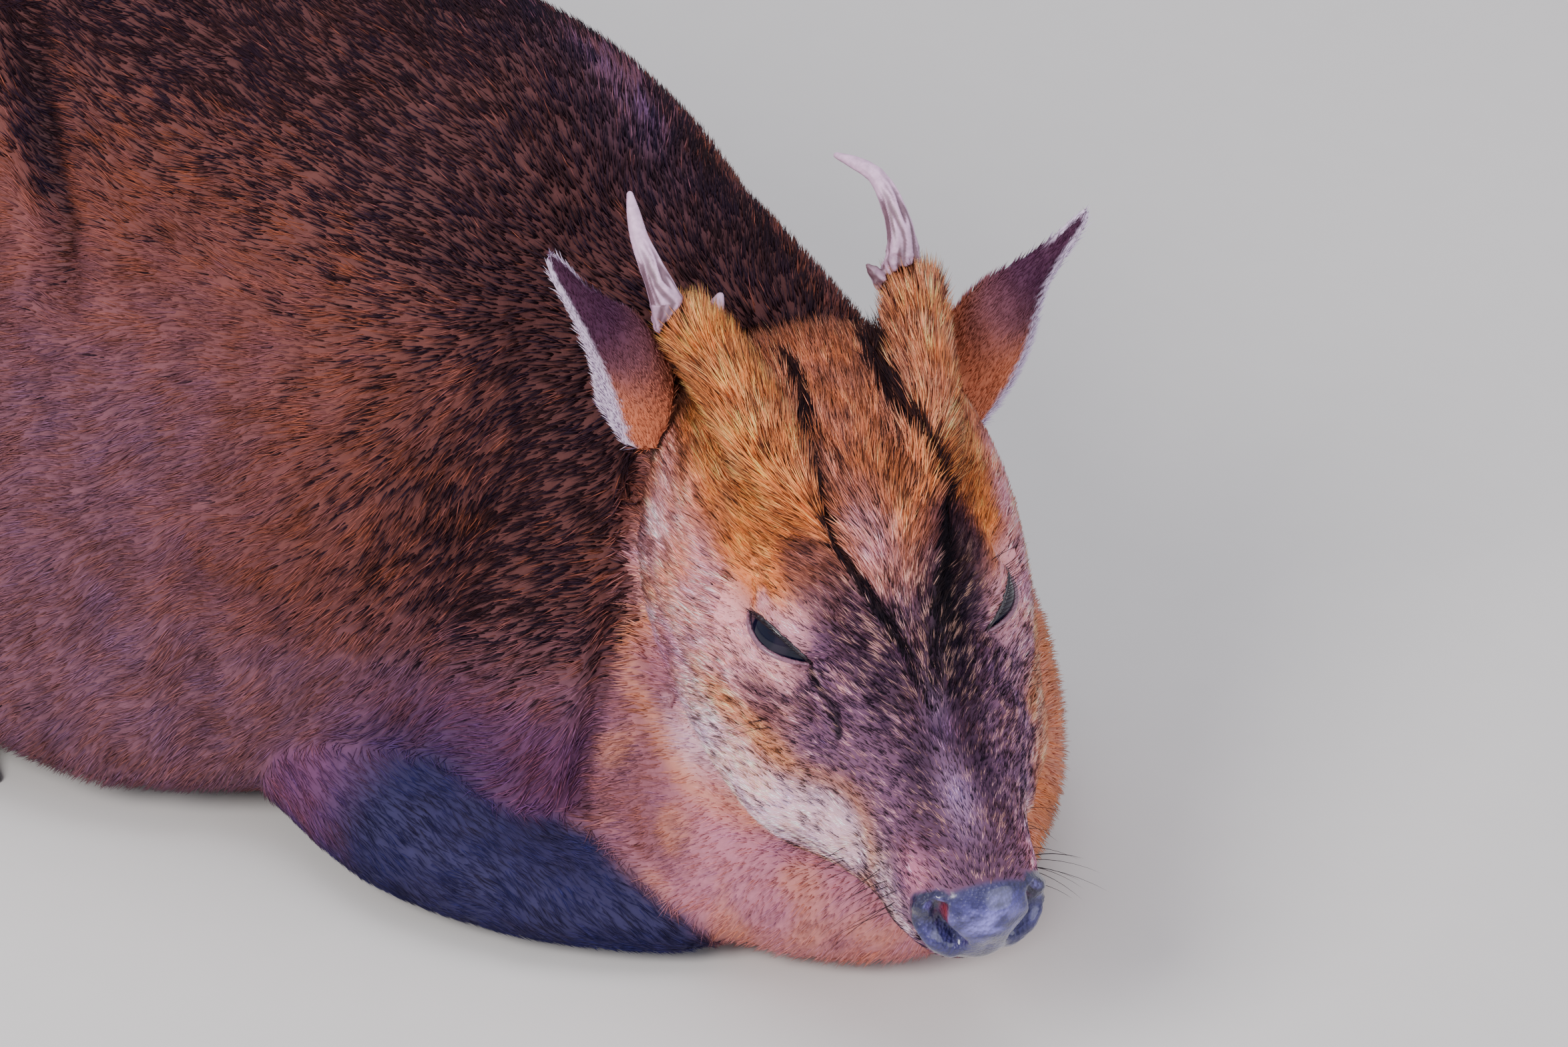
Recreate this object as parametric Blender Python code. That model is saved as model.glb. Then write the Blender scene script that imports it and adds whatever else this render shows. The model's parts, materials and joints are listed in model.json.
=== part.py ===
"""Male Reeves's muntjac lying at rest with its head lowered, life size.

Metres, +Z up, +X towards the head, +Y to the animal's left, floor at Z = 0.
The origin is on the floor under the middle of the whole animal.
Sizes in the tables are millimetres and are turned into metres by MM.
"""
import bpy
import bmesh
from math import cos, exp, pi, radians, sin
from mathutils import Matrix, Vector

MM = 0.001
GAP = 0.3

# Head: its own frame has x along the face, y to its left and z out of the forehead,
# and starts at the upper edge of the nose pad.
NOSE_HEIGHT = 80.0
HEAD_YAW = -26.7
HEAD_PITCH = 26.5
HEAD_ROLL = -1.35
MUZZLE_FRONT = 9.0
HEAD_BACK = -186.0
HEAD_SIDES = 32

EYE_RADIUS = 14.2
EYE_CENTRE = (-95.0, 25.0, -13.7)
INNER_CANTHUS = (-81.7, 25.1, -8.8)
OUTER_CANTHUS = (-103.9, 36.0, -12.7)
LID_THICKNESS = 1.5
UPPER_LID = 4.9
LOWER_LID = 2.4

PEDICLE_ROOT = (-128.0, 19.0, 6.0)
PEDICLE_TIP = (-186.0, 33.5, 7.0)
PEDICLE_RADIUS = 11.0
RIDGE_APEX = (-58.0, 3.5, 3.5)
RIDGE_RADIUS = 4.6
GLAND_LINE_RADIUS = 1.1

# Each antler: rows of share along it, and how far back, outwards and up it lies from its
# base there.
ANTLER_SHAPES = {
    "left": [(0.0, 0.0, 0.0, 0.0), (0.3, -11.2, 1.6, 10.4), (0.65, -28.0, -1.5, 15.8),
             (1.0, -39.4, -9.9, 12.2)],
    "right": [(0.0, 0.0, 0.0, 0.0), (0.3, -8.6, 3.4, 8.2), (0.65, -22.0, 6.4, 13.2),
              (1.0, -35.6, 5.9, 16.0)],
}
ANTLER_RADIUS = 4.7
ANTLER_INSET = {"left": 3.6, "right": -4.0}
TINE_ROOT = (-184.0, 29.0, 7.0)
TINE_TIPS = {"left": (-193.0, 21.5, 10.8), "right": (-193.4, 22.6, 7.4)}

EAR_BASE = (-170.0, 47.0, -9.0)
EAR_TIPS = {"left": (-183.2, 78.3, 39.9), "right": (-198.1, 76.1, 38.5)}
EAR_BACK = (0.69, -0.45, 0.565)
# Each ear: place along it, half-width, how far the sides wrap round, slant of the ring,
# and how far its middle is shifted forwards and out.
EAR_LEAVES = {
    "left": [(-0.12, 14.6, 2.5, 0.75, 4.8), (0.1, 14.0, 2.2, 0.7, 4.6), (0.3, 10.9, 1.8, 0.5, 3.4),
             (0.5, 6.6, 1.55, 0.3, 1.2), (0.7, 3.9, 1.4, 0.15, 1.0), (0.87, 2.8, 1.35, 0.0, 1.2),
             (0.96, 2.2, 1.35, 0.0, 0.9), (1.0, 1.1, 1.35, 0.0, 0.6)],
    "right": [(-0.12, 13.4, 2.5, 0.75, -4.8), (0.1, 12.7, 2.2, 0.7, -4.7), (0.3, 9.7, 1.8, 0.5, -4.2),
              (0.5, 7.2, 1.55, 0.3, -2.6), (0.7, 4.7, 1.4, 0.15, -0.8), (0.87, 3.6, 1.35, 0.0, 0.0),
              (0.96, 2.7, 1.35, 0.0, 0.3), (1.0, 1.2, 1.35, 0.0, 0.3)],
}
EAR_THICKNESS = 2.2

# Body: the middle of the back, as it lies, and the height of the withers.
WITHERS_HEIGHT = 222.0
CROUP_HEIGHT = 230.0
BODY_MIDDLE = 50.0
BODY_SIDES = 24

# Hooves of one foot
HOOF_LENGTH = 27.0
HOOF_HEIGHT = 15.0
HOOF_WIDTH = 9.0

COAT = (0.20, 0.085, 0.030)
FLANK = (0.19, 0.095, 0.065)
FACE = (0.42, 0.19, 0.055)
EAR_BROWN = (0.12, 0.065, 0.045)
LEG_DARK = (0.035, 0.030, 0.035)
HORN = (0.62, 0.50, 0.40)
HOOF_BLACK = (0.02, 0.018, 0.018)
EYE_DARK = (0.010, 0.010, 0.014)


def material(name, colour, roughness):
    made = bpy.data.materials.new(name)
    made.use_nodes = True
    shader = made.node_tree.nodes["Principled BSDF"]
    shader.inputs["Base Color"].default_value = (*colour, 1.0)
    shader.inputs["Roughness"].default_value = roughness
    shader.inputs["Metallic"].default_value = 0.0
    return made


def hermite(keys, t):
    """Smooth value between rows of keys; each row starts with its place on the run."""
    rising = keys if keys[0][0] < keys[-1][0] else keys[::-1]
    t = min(max(t, rising[0][0]), rising[-1][0])
    i = 0
    while i < len(rising) - 2 and t > rising[i + 1][0]:
        i += 1
    a, b = rising[i], rising[i + 1]
    before = rising[max(i - 1, 0)]
    after = rising[min(i + 2, len(rising) - 1)]
    span = b[0] - a[0]
    f = (t - a[0]) / span
    row = []
    for k in range(1, len(a)):
        slope_a = (b[k] - before[k]) / max(b[0] - before[0], 1e-9)
        slope_b = (after[k] - a[k]) / max(after[0] - a[0], 1e-9)
        h = (2 * f ** 3 - 3 * f ** 2 + 1) * a[k] + (f ** 3 - 2 * f ** 2 + f) * span * slope_a
        h += (3 * f ** 2 - 2 * f ** 3) * b[k] + (f ** 3 - f ** 2) * span * slope_b
        row.append(h)
    return row


def power(value, exponent):
    return abs(value) ** exponent * (1.0 if value >= 0.0 else -1.0)


def section(width, top, bottom, middle, round_top, round_bottom, sides):
    """Closed outline in (side, height): fuller than an ellipse above 2, keener below."""
    outline = []
    for i in range(sides):
        angle = 2 * pi * i / sides
        shape = 2.0 / (round_top if sin(angle) >= 0 else round_bottom)
        reach = top - middle if sin(angle) >= 0 else middle - bottom
        outline.append((width * power(cos(angle), shape), middle + reach * power(sin(angle), shape)))
    return outline


def loft(name, rings, cupped=False):
    """One closed mesh through rings of like counts.

    Each end is closed to a point, or, on a cupped leaf whose ring runs out along one face and
    back along the other, by a strip between the two faces.
    """
    bm = bmesh.new()
    grid = [[bm.verts.new(p) for p in ring] for ring in rings]
    count = len(rings[0])
    for low, high in zip(grid, grid[1:]):
        for i in range(count):
            j = (i + 1) % count
            bm.faces.new((low[i], low[j], high[j], high[i]))
    for ring in (grid[0], grid[-1]):
        if cupped:
            for i in range(count // 2 - 1):
                bm.faces.new((ring[i], ring[i + 1], ring[count - 2 - i], ring[count - 1 - i]))
            continue
        centre = bm.verts.new(sum((v.co for v in ring), Vector()) / count)
        for i in range(count):
            bm.faces.new((ring[i], ring[(i + 1) % count], centre))
    return finish(bm, name)


def finish(bm, name):
    bmesh.ops.remove_doubles(bm, verts=bm.verts, dist=0.00002)
    bmesh.ops.triangulate(bm, faces=bm.faces)
    bmesh.ops.recalc_face_normals(bm, faces=bm.faces)
    mesh = bpy.data.meshes.new(name)
    bm.to_mesh(mesh)
    bm.free()
    made = bpy.data.objects.new(name, mesh)
    bpy.context.scene.collection.objects.link(made)
    return made


def tube(name, keys, rings, sides, floor=False):
    """Limb with elliptical sections and round ends.

    A key is x, y, z, half-thickness to the side and half-thickness upwards.
    With floor set, what would pass under the floor is pressed flat on it.
    """
    runs = [(i, *key) for i, key in enumerate(keys)]
    last = len(keys) - 1
    centres = []
    for i in range(rings + 1):
        centres.append(hermite(runs, last * i / rings))
    loops = []
    for i, (x, y, z, side, up) in enumerate(centres):
        ahead = Vector(centres[min(i + 1, rings)][:3])
        behind = Vector(centres[max(i - 1, 0)][:3])
        along = (ahead - behind).normalized()
        across = along.cross(Vector((0, 0, 1)))
        across = Vector((0, 1, 0)) if across.length < 0.05 else across.normalized()
        above = across.cross(along).normalized()
        ends = [(0.0, 1.0)]
        if i == 0:
            ends = [(-0.95, 0.3), (-0.72, 0.7), (-0.38, 0.92), (0.0, 1.0)]
        if i == rings:
            ends = [(0.0, 1.0), (0.38, 0.92), (0.72, 0.7), (0.95, 0.3)]
        for shift, scale in ends:
            middle = Vector((x, y, z)) + along * shift * min(side, up)
            loop = []
            for k in range(sides):
                angle = 2 * pi * k / sides
                p = middle + across * side * scale * cos(angle) + above * up * scale * sin(angle)
                if floor:
                    p.z = max(p.z, 0.0)
                loop.append(p * MM)
            loops.append(loop)
    return loft(name, loops)


def swell(obj, amount):
    """Copy of a solid grown by an amount in millimetres, used as a cutter."""
    copy = obj.copy()
    copy.data = obj.data.copy()
    bpy.context.scene.collection.objects.link(copy)
    bm = bmesh.new()
    bm.from_mesh(copy.data)
    bm.normal_update()
    moved = [(v, v.co + v.normal * amount * MM * v.calc_shell_factor()) for v in bm.verts]
    for v, co in moved:
        v.co = co
    bm.to_mesh(copy.data)
    bm.free()
    return copy


def combine(obj, others, operation):
    """Joins or cuts with a group of closed solids, then keeps the largest piece."""
    group = bpy.data.collections.new("group")
    bpy.context.scene.collection.children.link(group)
    for other in others:
        group.objects.link(other)
    modifier = obj.modifiers.new("combine", "BOOLEAN")
    modifier.operation = operation
    modifier.solver = "EXACT"
    modifier.operand_type = "COLLECTION"
    modifier.collection = group
    modifier.use_self = operation == "UNION"
    bpy.context.view_layer.update()
    depsgraph = bpy.context.evaluated_depsgraph_get()
    mesh = bpy.data.meshes.new_from_object(obj.evaluated_get(depsgraph))
    obj.modifiers.remove(modifier)
    for other in others:
        bpy.data.objects.remove(other)
    bpy.data.collections.remove(group)
    obj.data = mesh
    keep_largest(obj)


def keep_largest(obj):
    bm = bmesh.new()
    bm.from_mesh(obj.data)
    bmesh.ops.remove_doubles(bm, verts=bm.verts, dist=0.000005)
    bmesh.ops.dissolve_degenerate(bm, edges=bm.edges, dist=0.000005)
    bmesh.ops.triangulate(bm, faces=bm.faces)
    unseen = set(bm.faces)
    best = []
    while unseen:
        start = unseen.pop()
        piece = [start]
        for face in piece:
            for edge in face.edges:
                for near in edge.link_faces:
                    if near in unseen:
                        unseen.remove(near)
                        piece.append(near)
        if len(piece) > len(best):
            best = piece
    kept = set(best)
    bmesh.ops.delete(bm, geom=[f for f in bm.faces if f not in kept], context="FACES")
    bm.to_mesh(obj.data)
    bm.free()


def head_matrix():
    yaw, pitch, roll = radians(HEAD_YAW), radians(HEAD_PITCH), radians(HEAD_ROLL)
    along = Vector((cos(pitch) * cos(yaw), cos(pitch) * sin(yaw), -sin(pitch)))
    left = Vector((-sin(yaw), cos(yaw), 0.0))
    out = along.cross(left)
    turned_left = left * cos(roll) + out * sin(roll)
    turned_out = along.cross(turned_left)
    turn = Matrix((along, turned_left, turned_out)).transposed()
    return Matrix.Translation(Vector((0, 0, NOSE_HEIGHT)) * MM) @ turn.to_4x4()


# Head sections: place along the face, half-width, top, bottom, widest level,
# fullness of the upper half and of the lower half.
HEAD_SECTIONS = [
    (9.0, 5.0, -9.0, -24.0, -16.0, 2.0, 2.0),
    (6.5, 12.0, -4.0, -30.0, -16.0, 2.2, 2.2),
    (1.5, 17.0, -0.5, -35.0, -17.0, 2.3, 2.2),
    (-7.0, 20.0, 2.0, -40.0, -18.0, 2.3, 2.3),
    (-20.0, 22.0, 3.5, -46.0, -22.0, 2.2, 2.5),
    (-33.0, 26.5, 3.5, -53.0, -28.0, 2.05, 2.8),
    (-46.0, 34.0, 3.8, -63.0, -36.0, 1.9, 3.0),
    (-58.0, 42.0, 4.5, -72.0, -42.0, 1.8, 3.0),
    (-75.0, 47.0, 6.5, -76.0, -43.0, 1.85, 2.9),
    (-92.0, 51.0, 9.0, -81.0, -43.0, 2.0, 2.7),
    (-110.0, 54.0, 11.5, -85.0, -43.0, 2.1, 2.5),
    (-128.0, 55.5, 13.0, -86.0, -42.0, 2.2, 2.3),
    (-146.0, 54.0, 14.0, -86.0, -40.0, 2.2, 2.2),
    (-162.0, 49.0, 12.5, -84.0, -36.0, 2.2, 2.2),
    (-176.0, 41.0, 7.0, -76.0, -34.0, 2.1, 2.1),
    (-186.0, 30.0, -6.0, -64.0, -32.0, 2.0, 2.0),
]

# Soft forms of the head: centre on its left side, spread, and how far it stands out.
HEAD_FORMS = [
    ((-93.0, 34.0, 0.0), 12.0, 2.5),
    ((-122.0, 42.0, 2.0), 12.0, -2.5),
    ((-66.0, 31.0, -16.0), 10.0, -2.5),
    ((-12.0, 19.0, -27.0), 8.0, 1.2),
    ((-44.0, 27.0, -44.0), 9.0, -1.5),
]


def head_station(i, count):
    """Ring places, closest together on the muzzle."""
    f = i / count
    return MUZZLE_FRONT + (HEAD_BACK - MUZZLE_FRONT) * (0.55 * f + 0.45 * f * f)


def mirrored(point, side):
    return Vector((point[0], point[1] * side, point[2]))


def head_core():
    rings = []
    count = 26
    for i in range(count + 1):
        x = head_station(i, count)
        width, top, bottom, middle, round_top, round_bottom = hermite(HEAD_SECTIONS, x)
        outline = section(width, top, bottom, middle, round_top, round_bottom, HEAD_SIDES)
        ring = []
        for y, z in outline:
            p = Vector((x, y, z))
            outward = Vector((0.0, y, z - middle)).normalized()
            for centre, spread, height in HEAD_FORMS:
                for side in (1, -1):
                    away = (p - mirrored(centre, side)).length / spread
                    p = p + outward * height * exp(-away * away)
            ring.append(p * MM)
        rings.append(ring)
    return loft("head", rings)


def ball(name, centre, radius, segments, rings):
    bm = bmesh.new()
    bmesh.ops.create_uvsphere(bm, u_segments=segments, v_segments=rings, radius=radius * MM)
    bmesh.ops.translate(bm, verts=bm.verts, vec=Vector(centre) * MM)
    return finish(bm, name)


def eye_axis(side):
    """Direction in which the eye looks, out from the side of the head."""
    return Vector((0.12, 0.80 * side, 0.45)).normalized()


def lid_opening(side):
    """Almond cutter that opens the lids over the eyeball, pointed at both corners."""
    inner, outer = mirrored(INNER_CANTHUS, side), mirrored(OUTER_CANTHUS, side)
    along = (outer - inner).normalized()
    look = eye_axis(side)
    rise = along.cross(look).normalized()
    if rise.z < 0:
        rise = -rise
    look = rise.cross(along).normalized()
    if look.y * side < 0:
        look = -look
    length = (outer - inner).length
    steps = 8
    outline = []
    for i in range(steps):
        f = i / steps
        outline.append((f, UPPER_LID * sin(pi * f) ** 0.7))
    for i in range(steps):
        f = 1 - i / steps
        outline.append((f, -LOWER_LID * sin(pi * f)))
    middle = inner
    rings = []
    for depth in (-10.0, 16.0):
        rings.append([(middle + along * length * f + rise * h + look * depth) * MM
                      for f, h in outline])
    return loft("opening", rings)


def lid_bulge(side):
    return ball("lids", mirrored(EYE_CENTRE, side), EYE_RADIUS + LID_THICKNESS, 16, 10)


def ridge(side):
    """Raised fold of the V on the face, from over the nose up to the pedicle."""
    apex = mirrored(RIDGE_APEX, side)
    root = mirrored(PEDICLE_ROOT, side)
    keys = []
    for f in (0.0, 0.35, 0.7, 1.0):
        p = apex.lerp(root, f)
        size = RIDGE_RADIUS * (0.55 + 0.75 * f)
        keys.append((p.x, p.y, p.z + 1.5 * sin(pi * f), size * 1.25, size))
    return tube("ridge", keys, 9, 8)


def pedicle(side):
    root, tip = mirrored(PEDICLE_ROOT, side), mirrored(PEDICLE_TIP, side)
    keys = []
    for f, scale, lift in ((-0.15, 0.9, -3.0), (0.2, 1.15, 0.0), (0.6, 1.1, 1.0), (0.96, 0.92, 0.0)):
        p = root.lerp(tip, f)
        keys.append((p.x, p.y, p.z + lift, PEDICLE_RADIUS * scale, PEDICLE_RADIUS * scale))
    return tube("pedicle", keys, 7, 12)


def gland_line(side):
    """Fine dark furrow along the inner side of the ridge."""
    apex = mirrored(RIDGE_APEX, side)
    root = mirrored(PEDICLE_ROOT, side)
    keys = []
    for f in (0.05, 0.4, 0.75, 1.0):
        p = apex.lerp(root, f)
        size = GLAND_LINE_RADIUS
        keys.append((p.x, p.y - side * RIDGE_RADIUS * 1.45, p.z + 4.2 + 3.5 * f, size, size * 1.6))
    return tube("furrow", keys, 8, 5)


def tear_gland(side):
    """Slit in front of the inner corner of the eye."""
    keys = [(-76.0, 31.5 * side, -12.0, 1.1, 2.2), (-68.0, 31.0 * side, -16.0, 1.5, 2.6),
            (-60.0, 28.5 * side, -20.0, 0.9, 1.8)]
    return tube("tear_gland", keys, 4, 5)


def nostril(side):
    keys = [(8.0, 7.5 * side, -17.5, 1.5, 2.0), (5.5, 12.0 * side, -15.0, 2.2, 2.8),
            (1.0, 16.0 * side, -12.5, 1.9, 2.6), (-4.5, 18.8 * side, -12.0, 0.8, 1.2)]
    return tube("nostril", keys, 4, 6)


def mouth_line():
    """Furrow between the lips, from corner to corner round the front of the muzzle."""
    half = [(-42.0, 24.5, -37.5), (-30.0, 22.0, -36.5), (-14.0, 19.0, -35.0), (-1.0, 13.0, -33.5),
            (3.5, 6.0, -33.0)]
    run = half + [(4.5, 0.0, -33.0)] + [(x, -y, z) for x, y, z in half[::-1]]
    keys = [(x, y, z, 1.7, 0.8) for x, y, z in run]
    return tube("mouth", keys, 22, 5)


def place(obj, matrix):
    obj.data.transform(matrix)


def build_head(matrix, coat):
    core = head_core()
    raw = core.copy()
    raw.data = core.data.copy()
    bpy.context.scene.collection.objects.link(raw)
    raw.name = "raw_head"
    added = []
    for side in (1, -1):
        added += [pedicle(side), ridge(side), lid_bulge(side)]
    combine(core, added, "UNION")
    cutters = [mouth_line()]
    for side in (1, -1):
        socket = ball("socket", mirrored(EYE_CENTRE, side), EYE_RADIUS + GAP, 18, 12)
        cutters += [lid_opening(side), socket, gland_line(side), tear_gland(side), nostril(side)]
    for cutter in cutters:
        combine(core, [cutter], "DIFFERENCE")
    place(core, matrix)
    place(raw, matrix)
    core.data.materials.append(coat)
    return core, raw


def build_eyes(matrix, wet):
    for side, word in ((1, "left"), (-1, "right")):
        eye = ball("eye_" + word, mirrored(EYE_CENTRE, side), EYE_RADIUS, 16, 10)
        place(eye, matrix)
        eye.data.materials.append(wet)


def build_ear(side, word, matrix, raw_head, raw_neck, coat):
    """Leaf-shaped cup on a broad slanting root, open to the side and rear, its rim thin."""
    base, tip = mirrored(EAR_BASE, side), mirrored(EAR_TIPS[word], side)
    along = (tip - base).normalized()
    back = mirrored(EAR_BACK, side)
    back = (back - along * back.dot(along)).normalized()
    across = along.cross(back).normalized()
    if across.x < 0:
        across = -across
    length = (tip - base).length
    rings = []
    arc_steps = 6
    steps = 11
    for i in range(steps + 1):
        f = -0.12 + 1.12 * i / steps
        half, spread, slant, shift = hermite(EAR_LEAVES[word], f)
        radius = half / max(sin(min(spread, pi / 2)), 0.2)
        shell = min(EAR_THICKNESS * (1.0 - 0.45 * max(f, 0.0)), radius * 0.5)
        ring = []
        for layer, size in ((0, radius), (1, radius - shell)):
            for k in range(arc_steps + 1):
                turn = spread * (1 - 2 * k / arc_steps)
                turn = turn if layer == 0 else -turn
                aside = size * sin(turn) + shift
                p = base + along * (length * f - slant * aside) + across * aside
                p += back * (size * cos(turn) - radius * 0.75)
                ring.append(p * MM)
        rings.append(ring)
    ear = loft("ear_" + word, rings, cupped=True)
    place(ear, matrix)
    for solid in (raw_head, raw_neck):
        combine(ear, [swell(solid, GAP)], "DIFFERENCE")
    ear.data.materials.append(coat)


def build_antler(side, word, matrix, horn):
    """Single beam that bows up and hooks back at the tip, with a short brow tine."""
    tip = mirrored(PEDICLE_TIP, side)
    axis = (tip - mirrored(PEDICLE_ROOT, side)).normalized()
    start = tip + axis * (GAP + 0.5) + Vector((0, -side * ANTLER_INSET[word], 0))
    path = [(f, x, y * side, z) for f, x, y, z in ANTLER_SHAPES[word]]
    thickness = [(0.0, 1.18), (0.06, 1.16), (0.17, 0.98), (0.33, 0.76), (0.5, 0.6), (0.67, 0.47),
                 (0.85, 0.33), (1.0, 0.1)]
    keys = []
    for f, _ in thickness:
        x, y, z = hermite(path, f)
        size = ANTLER_RADIUS * hermite(thickness, f)[0]
        keys.append((start.x + x, start.y + y, start.z + z, size, size * 0.85))
    beam = tube("antler_" + word, keys, 14, 8)
    root, point = mirrored(TINE_ROOT, side), mirrored(TINE_TIPS[word], side)
    tine_keys = []
    for f, size in ((0.0, 2.8), (0.55, 2.3), (1.0, 0.7)):
        tine_keys.append((*root.lerp(point, f), size, size))
    tine = tube("brow_tine_" + word, tine_keys, 4, 6)
    combine(tine, [swell(beam, GAP)], "DIFFERENCE")
    for piece in (beam, tine):
        bone = pedicle(side)
        combine(piece, [swell(bone, GAP)], "DIFFERENCE")
        bpy.data.objects.remove(bone)
    for piece in (beam, tine):
        place(piece, matrix)
        piece.data.materials.append(horn)


# Neck and trunk sections: place x and y, heading in degrees, half-width, top, bottom,
# widest level, fullness above and below, and how far the underside slumps to the right.
NECK_SECTIONS = [
    (0, -262.0, 54.0, 0.0, 50.0, 192.0, 30.0, 110.0, 2.0, 2.0, 0.0),
    (1, -232.0, 58.0, 2.0, 68.0, 202.0, 12.0, 90.0, 2.2, 2.2, 2.0),
    (2, -200.0, 67.0, 6.0, 73.0, 187.0, 0.0, 76.0, 2.15, 2.8, 6.0),
    (3, -170.0, 74.0, 2.0, 69.0, 166.0, -4.0, 64.0, 2.05, 3.0, 8.0),
    (4, -145.0, 73.0, -10.0, 65.0, 147.0, -4.0, 54.0, 2.05, 3.0, 6.0),
    (5, -120.0, 62.0, -20.0, 64.0, 114.0, -4.0, 44.0, 2.1, 2.9, 2.0),
    (6, -96.0, 46.0, -26.0, 63.5, 88.0, -4.0, 37.0, 2.2, 2.7, 0.0),
    (7, -76.0, 34.0, -27.0, 52.0, 70.0, -4.0, 33.0, 2.2, 2.5, 0.0),
    (8, -60.0, 30.0, -27.0, 33.5, 56.0, 1.0, 29.0, 2.1, 2.2, 0.0),
    (9, -49.0, 27.0, -27.0, 12.0, 41.0, 13.0, 27.0, 2.0, 2.0, 0.0),
]

TORSO_SECTIONS = [
    (0, -176.0, 52.0, 0.0, 30.0, 120.0, 22.0, 70.0, 2.0, 2.0, 0.0),
    (1, -188.0, 52.0, 0.0, 58.0, 162.0, 6.0, 70.0, 2.0, 2.4, 2.0),
    (2, -212.0, 52.0, 0.0, 84.0, 204.0, -3.0, 70.0, 2.0, 2.8, 6.0),
    (3, -245.0, 51.0, 0.0, 103.0, WITHERS_HEIGHT + 2, -4.0, 66.0, 1.92, 3.2, 14.0),
    (4, -290.0, 49.0, 5.0, 116.0, WITHERS_HEIGHT + 4, -4.0, 58.0, 1.87, 3.6, 20.0),
    (5, -335.0, 43.0, 9.0, 120.0, WITHERS_HEIGHT + 4, -4.0, 56.0, 1.85, 3.6, 24.0),
    (6, -385.0, 32.0, 13.0, 120.0, WITHERS_HEIGHT + 5, -4.0, 62.0, 1.85, 3.4, 22.0),
    (7, -435.0, 19.0, 16.0, 116.0, CROUP_HEIGHT, -4.0, 78.0, 1.9, 2.8, 18.0),
    (8, -485.0, 3.0, 19.0, 103.0, CROUP_HEIGHT - 5, -3.0, 92.0, 2.0, 2.4, 8.0),
    (9, -525.0, -12.0, 21.0, 86.0, CROUP_HEIGHT - 28, 0.0, 96.0, 2.0, 2.2, 2.0),
    (10, -553.0, -23.0, 23.0, 60.0, CROUP_HEIGHT - 64, 14.0, 94.0, 2.0, 2.0, 0.0),
    (11, -567.0, -29.0, 23.0, 28.0, CROUP_HEIGHT - 102, 42.0, 88.0, 2.0, 2.0, 0.0),
]

# Soft forms on both sides of the trunk: place, level, spread along, spread up, and how
# far each stands out: shoulder, brisket, hollow behind the elbow, slack of the belly,
# flank, stifle, thigh, haunch over the folded leg, pin bone.
TRUNK_FORMS = [
    (-222.0, 118.0, 26.0, 44.0, 9.0),
    (-185.0, 30.0, 46.0, 34.0, 24.0),
    (-276.0, 74.0, 18.0, 40.0, -5.0),
    (-288.0, 14.0, 42.0, 26.0, 16.0),
    (-372.0, 124.0, 20.0, 44.0, -9.0),
    (-356.0, 42.0, 34.0, 40.0, 15.0),
    (-430.0, 104.0, 50.0, 54.0, 18.0),
    (-462.0, 38.0, 52.0, 40.0, 30.0),
    (-520.0, 150.0, 22.0, 22.0, 4.0),
]
# The brisket carried forward under the neck.
NECK_FORMS = [(-172.0, 34.0, 50.0, 44.0, 27.0)]


def build_trunk(name, sections, forms, rings, sides):
    loops = []
    last = sections[-1][0]
    for i in range(rings + 1):
        row = hermite(sections, last * i / rings)
        x, y, heading, width, top, bottom, middle, round_top, round_bottom, slump = row
        turn = radians(heading)
        across = Vector((-sin(turn), cos(turn), 0.0))
        loop = []
        for side, height in section(width, top, bottom, middle, round_top, round_bottom, sides):
            lateral = max(min(2.0 * side / width, 1.0), -1.0)
            for place_x, level, spread_x, spread_z, rise in forms:
                away = ((x - place_x) / spread_x) ** 2 + ((height - level) / spread_z) ** 2
                side += lateral * rise * exp(-away)
            side -= slump * (1.0 - max(height, 0.0) / top)
            p = Vector((x, y, 0)) + across * side
            p.z = max(height, 0.0)
            loop.append(p * MM)
        loops.append(loop)
    return loft(name, loops)


def side_keys(keys, side, middle, heading=0.0, pivot=(0.0, 0.0)):
    """Keys written for the left side about a straight midline, turned and set in place."""
    turn = radians(heading)
    placed = []
    for x, y, z, half_side, half_up in keys:
        along, across = x - pivot[0], y * side
        px = pivot[0] + along * cos(turn) - across * sin(turn)
        py = middle + along * sin(turn) + across * cos(turn)
        placed.append((px, py, z, half_side, half_up))
    return placed


FOREARM = [(-230.0, 88.0, 25.0, 23.0, 25.0), (-192.0, 90.0, 20.0, 25.0, 21.0),
           (-152.0, 78.0, 14.0, 23.0, 14.5), (-124.0, 60.0, 11.5, 20.0, 12.0),
           (-114.0, 54.0, 11.5, 18.0, 12.0)]
FORE_CANNON = [(-124.0, 36.0, 11.0, 10.0, 11.0), (-160.0, 29.0, 9.0, 8.5, 9.5),
               (-205.0, 27.0, 9.0, 8.5, 9.5), (-226.0, 27.0, 9.0, 9.5, 10.0)]
FORE_FOOT = (-232.0, 27.0)

SHANK = [(-340.0, 104.0, 25.0, 20.0, 23.0), (-384.0, 111.0, 25.0, 20.0, 24.0),
         (-434.0, 108.0, 22.0, 15.0, 19.0), (-480.0, 99.0, 17.0, 12.5, 15.0)]
HIND_CANNON = [(-480.0, 124.0, 14.0, 12.0, 13.5), (-442.0, 132.0, 10.0, 9.5, 10.5),
               (-392.0, 141.0, 9.0, 9.0, 9.5), (-374.0, 143.0, 9.0, 10.0, 10.0)]
HIND_FOOT = (-366.0, 143.0)
LIMB_GRID = {"forearm": (8, 12), "fore_cannon": (4, 8), "shank": (6, 10), "hind_cannon": (4, 8)}
PELVIS_TURN = 11.0
PELVIS_PIVOT = (-420.0, 0.0)
PELVIS_MIDDLE = 24.0


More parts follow.
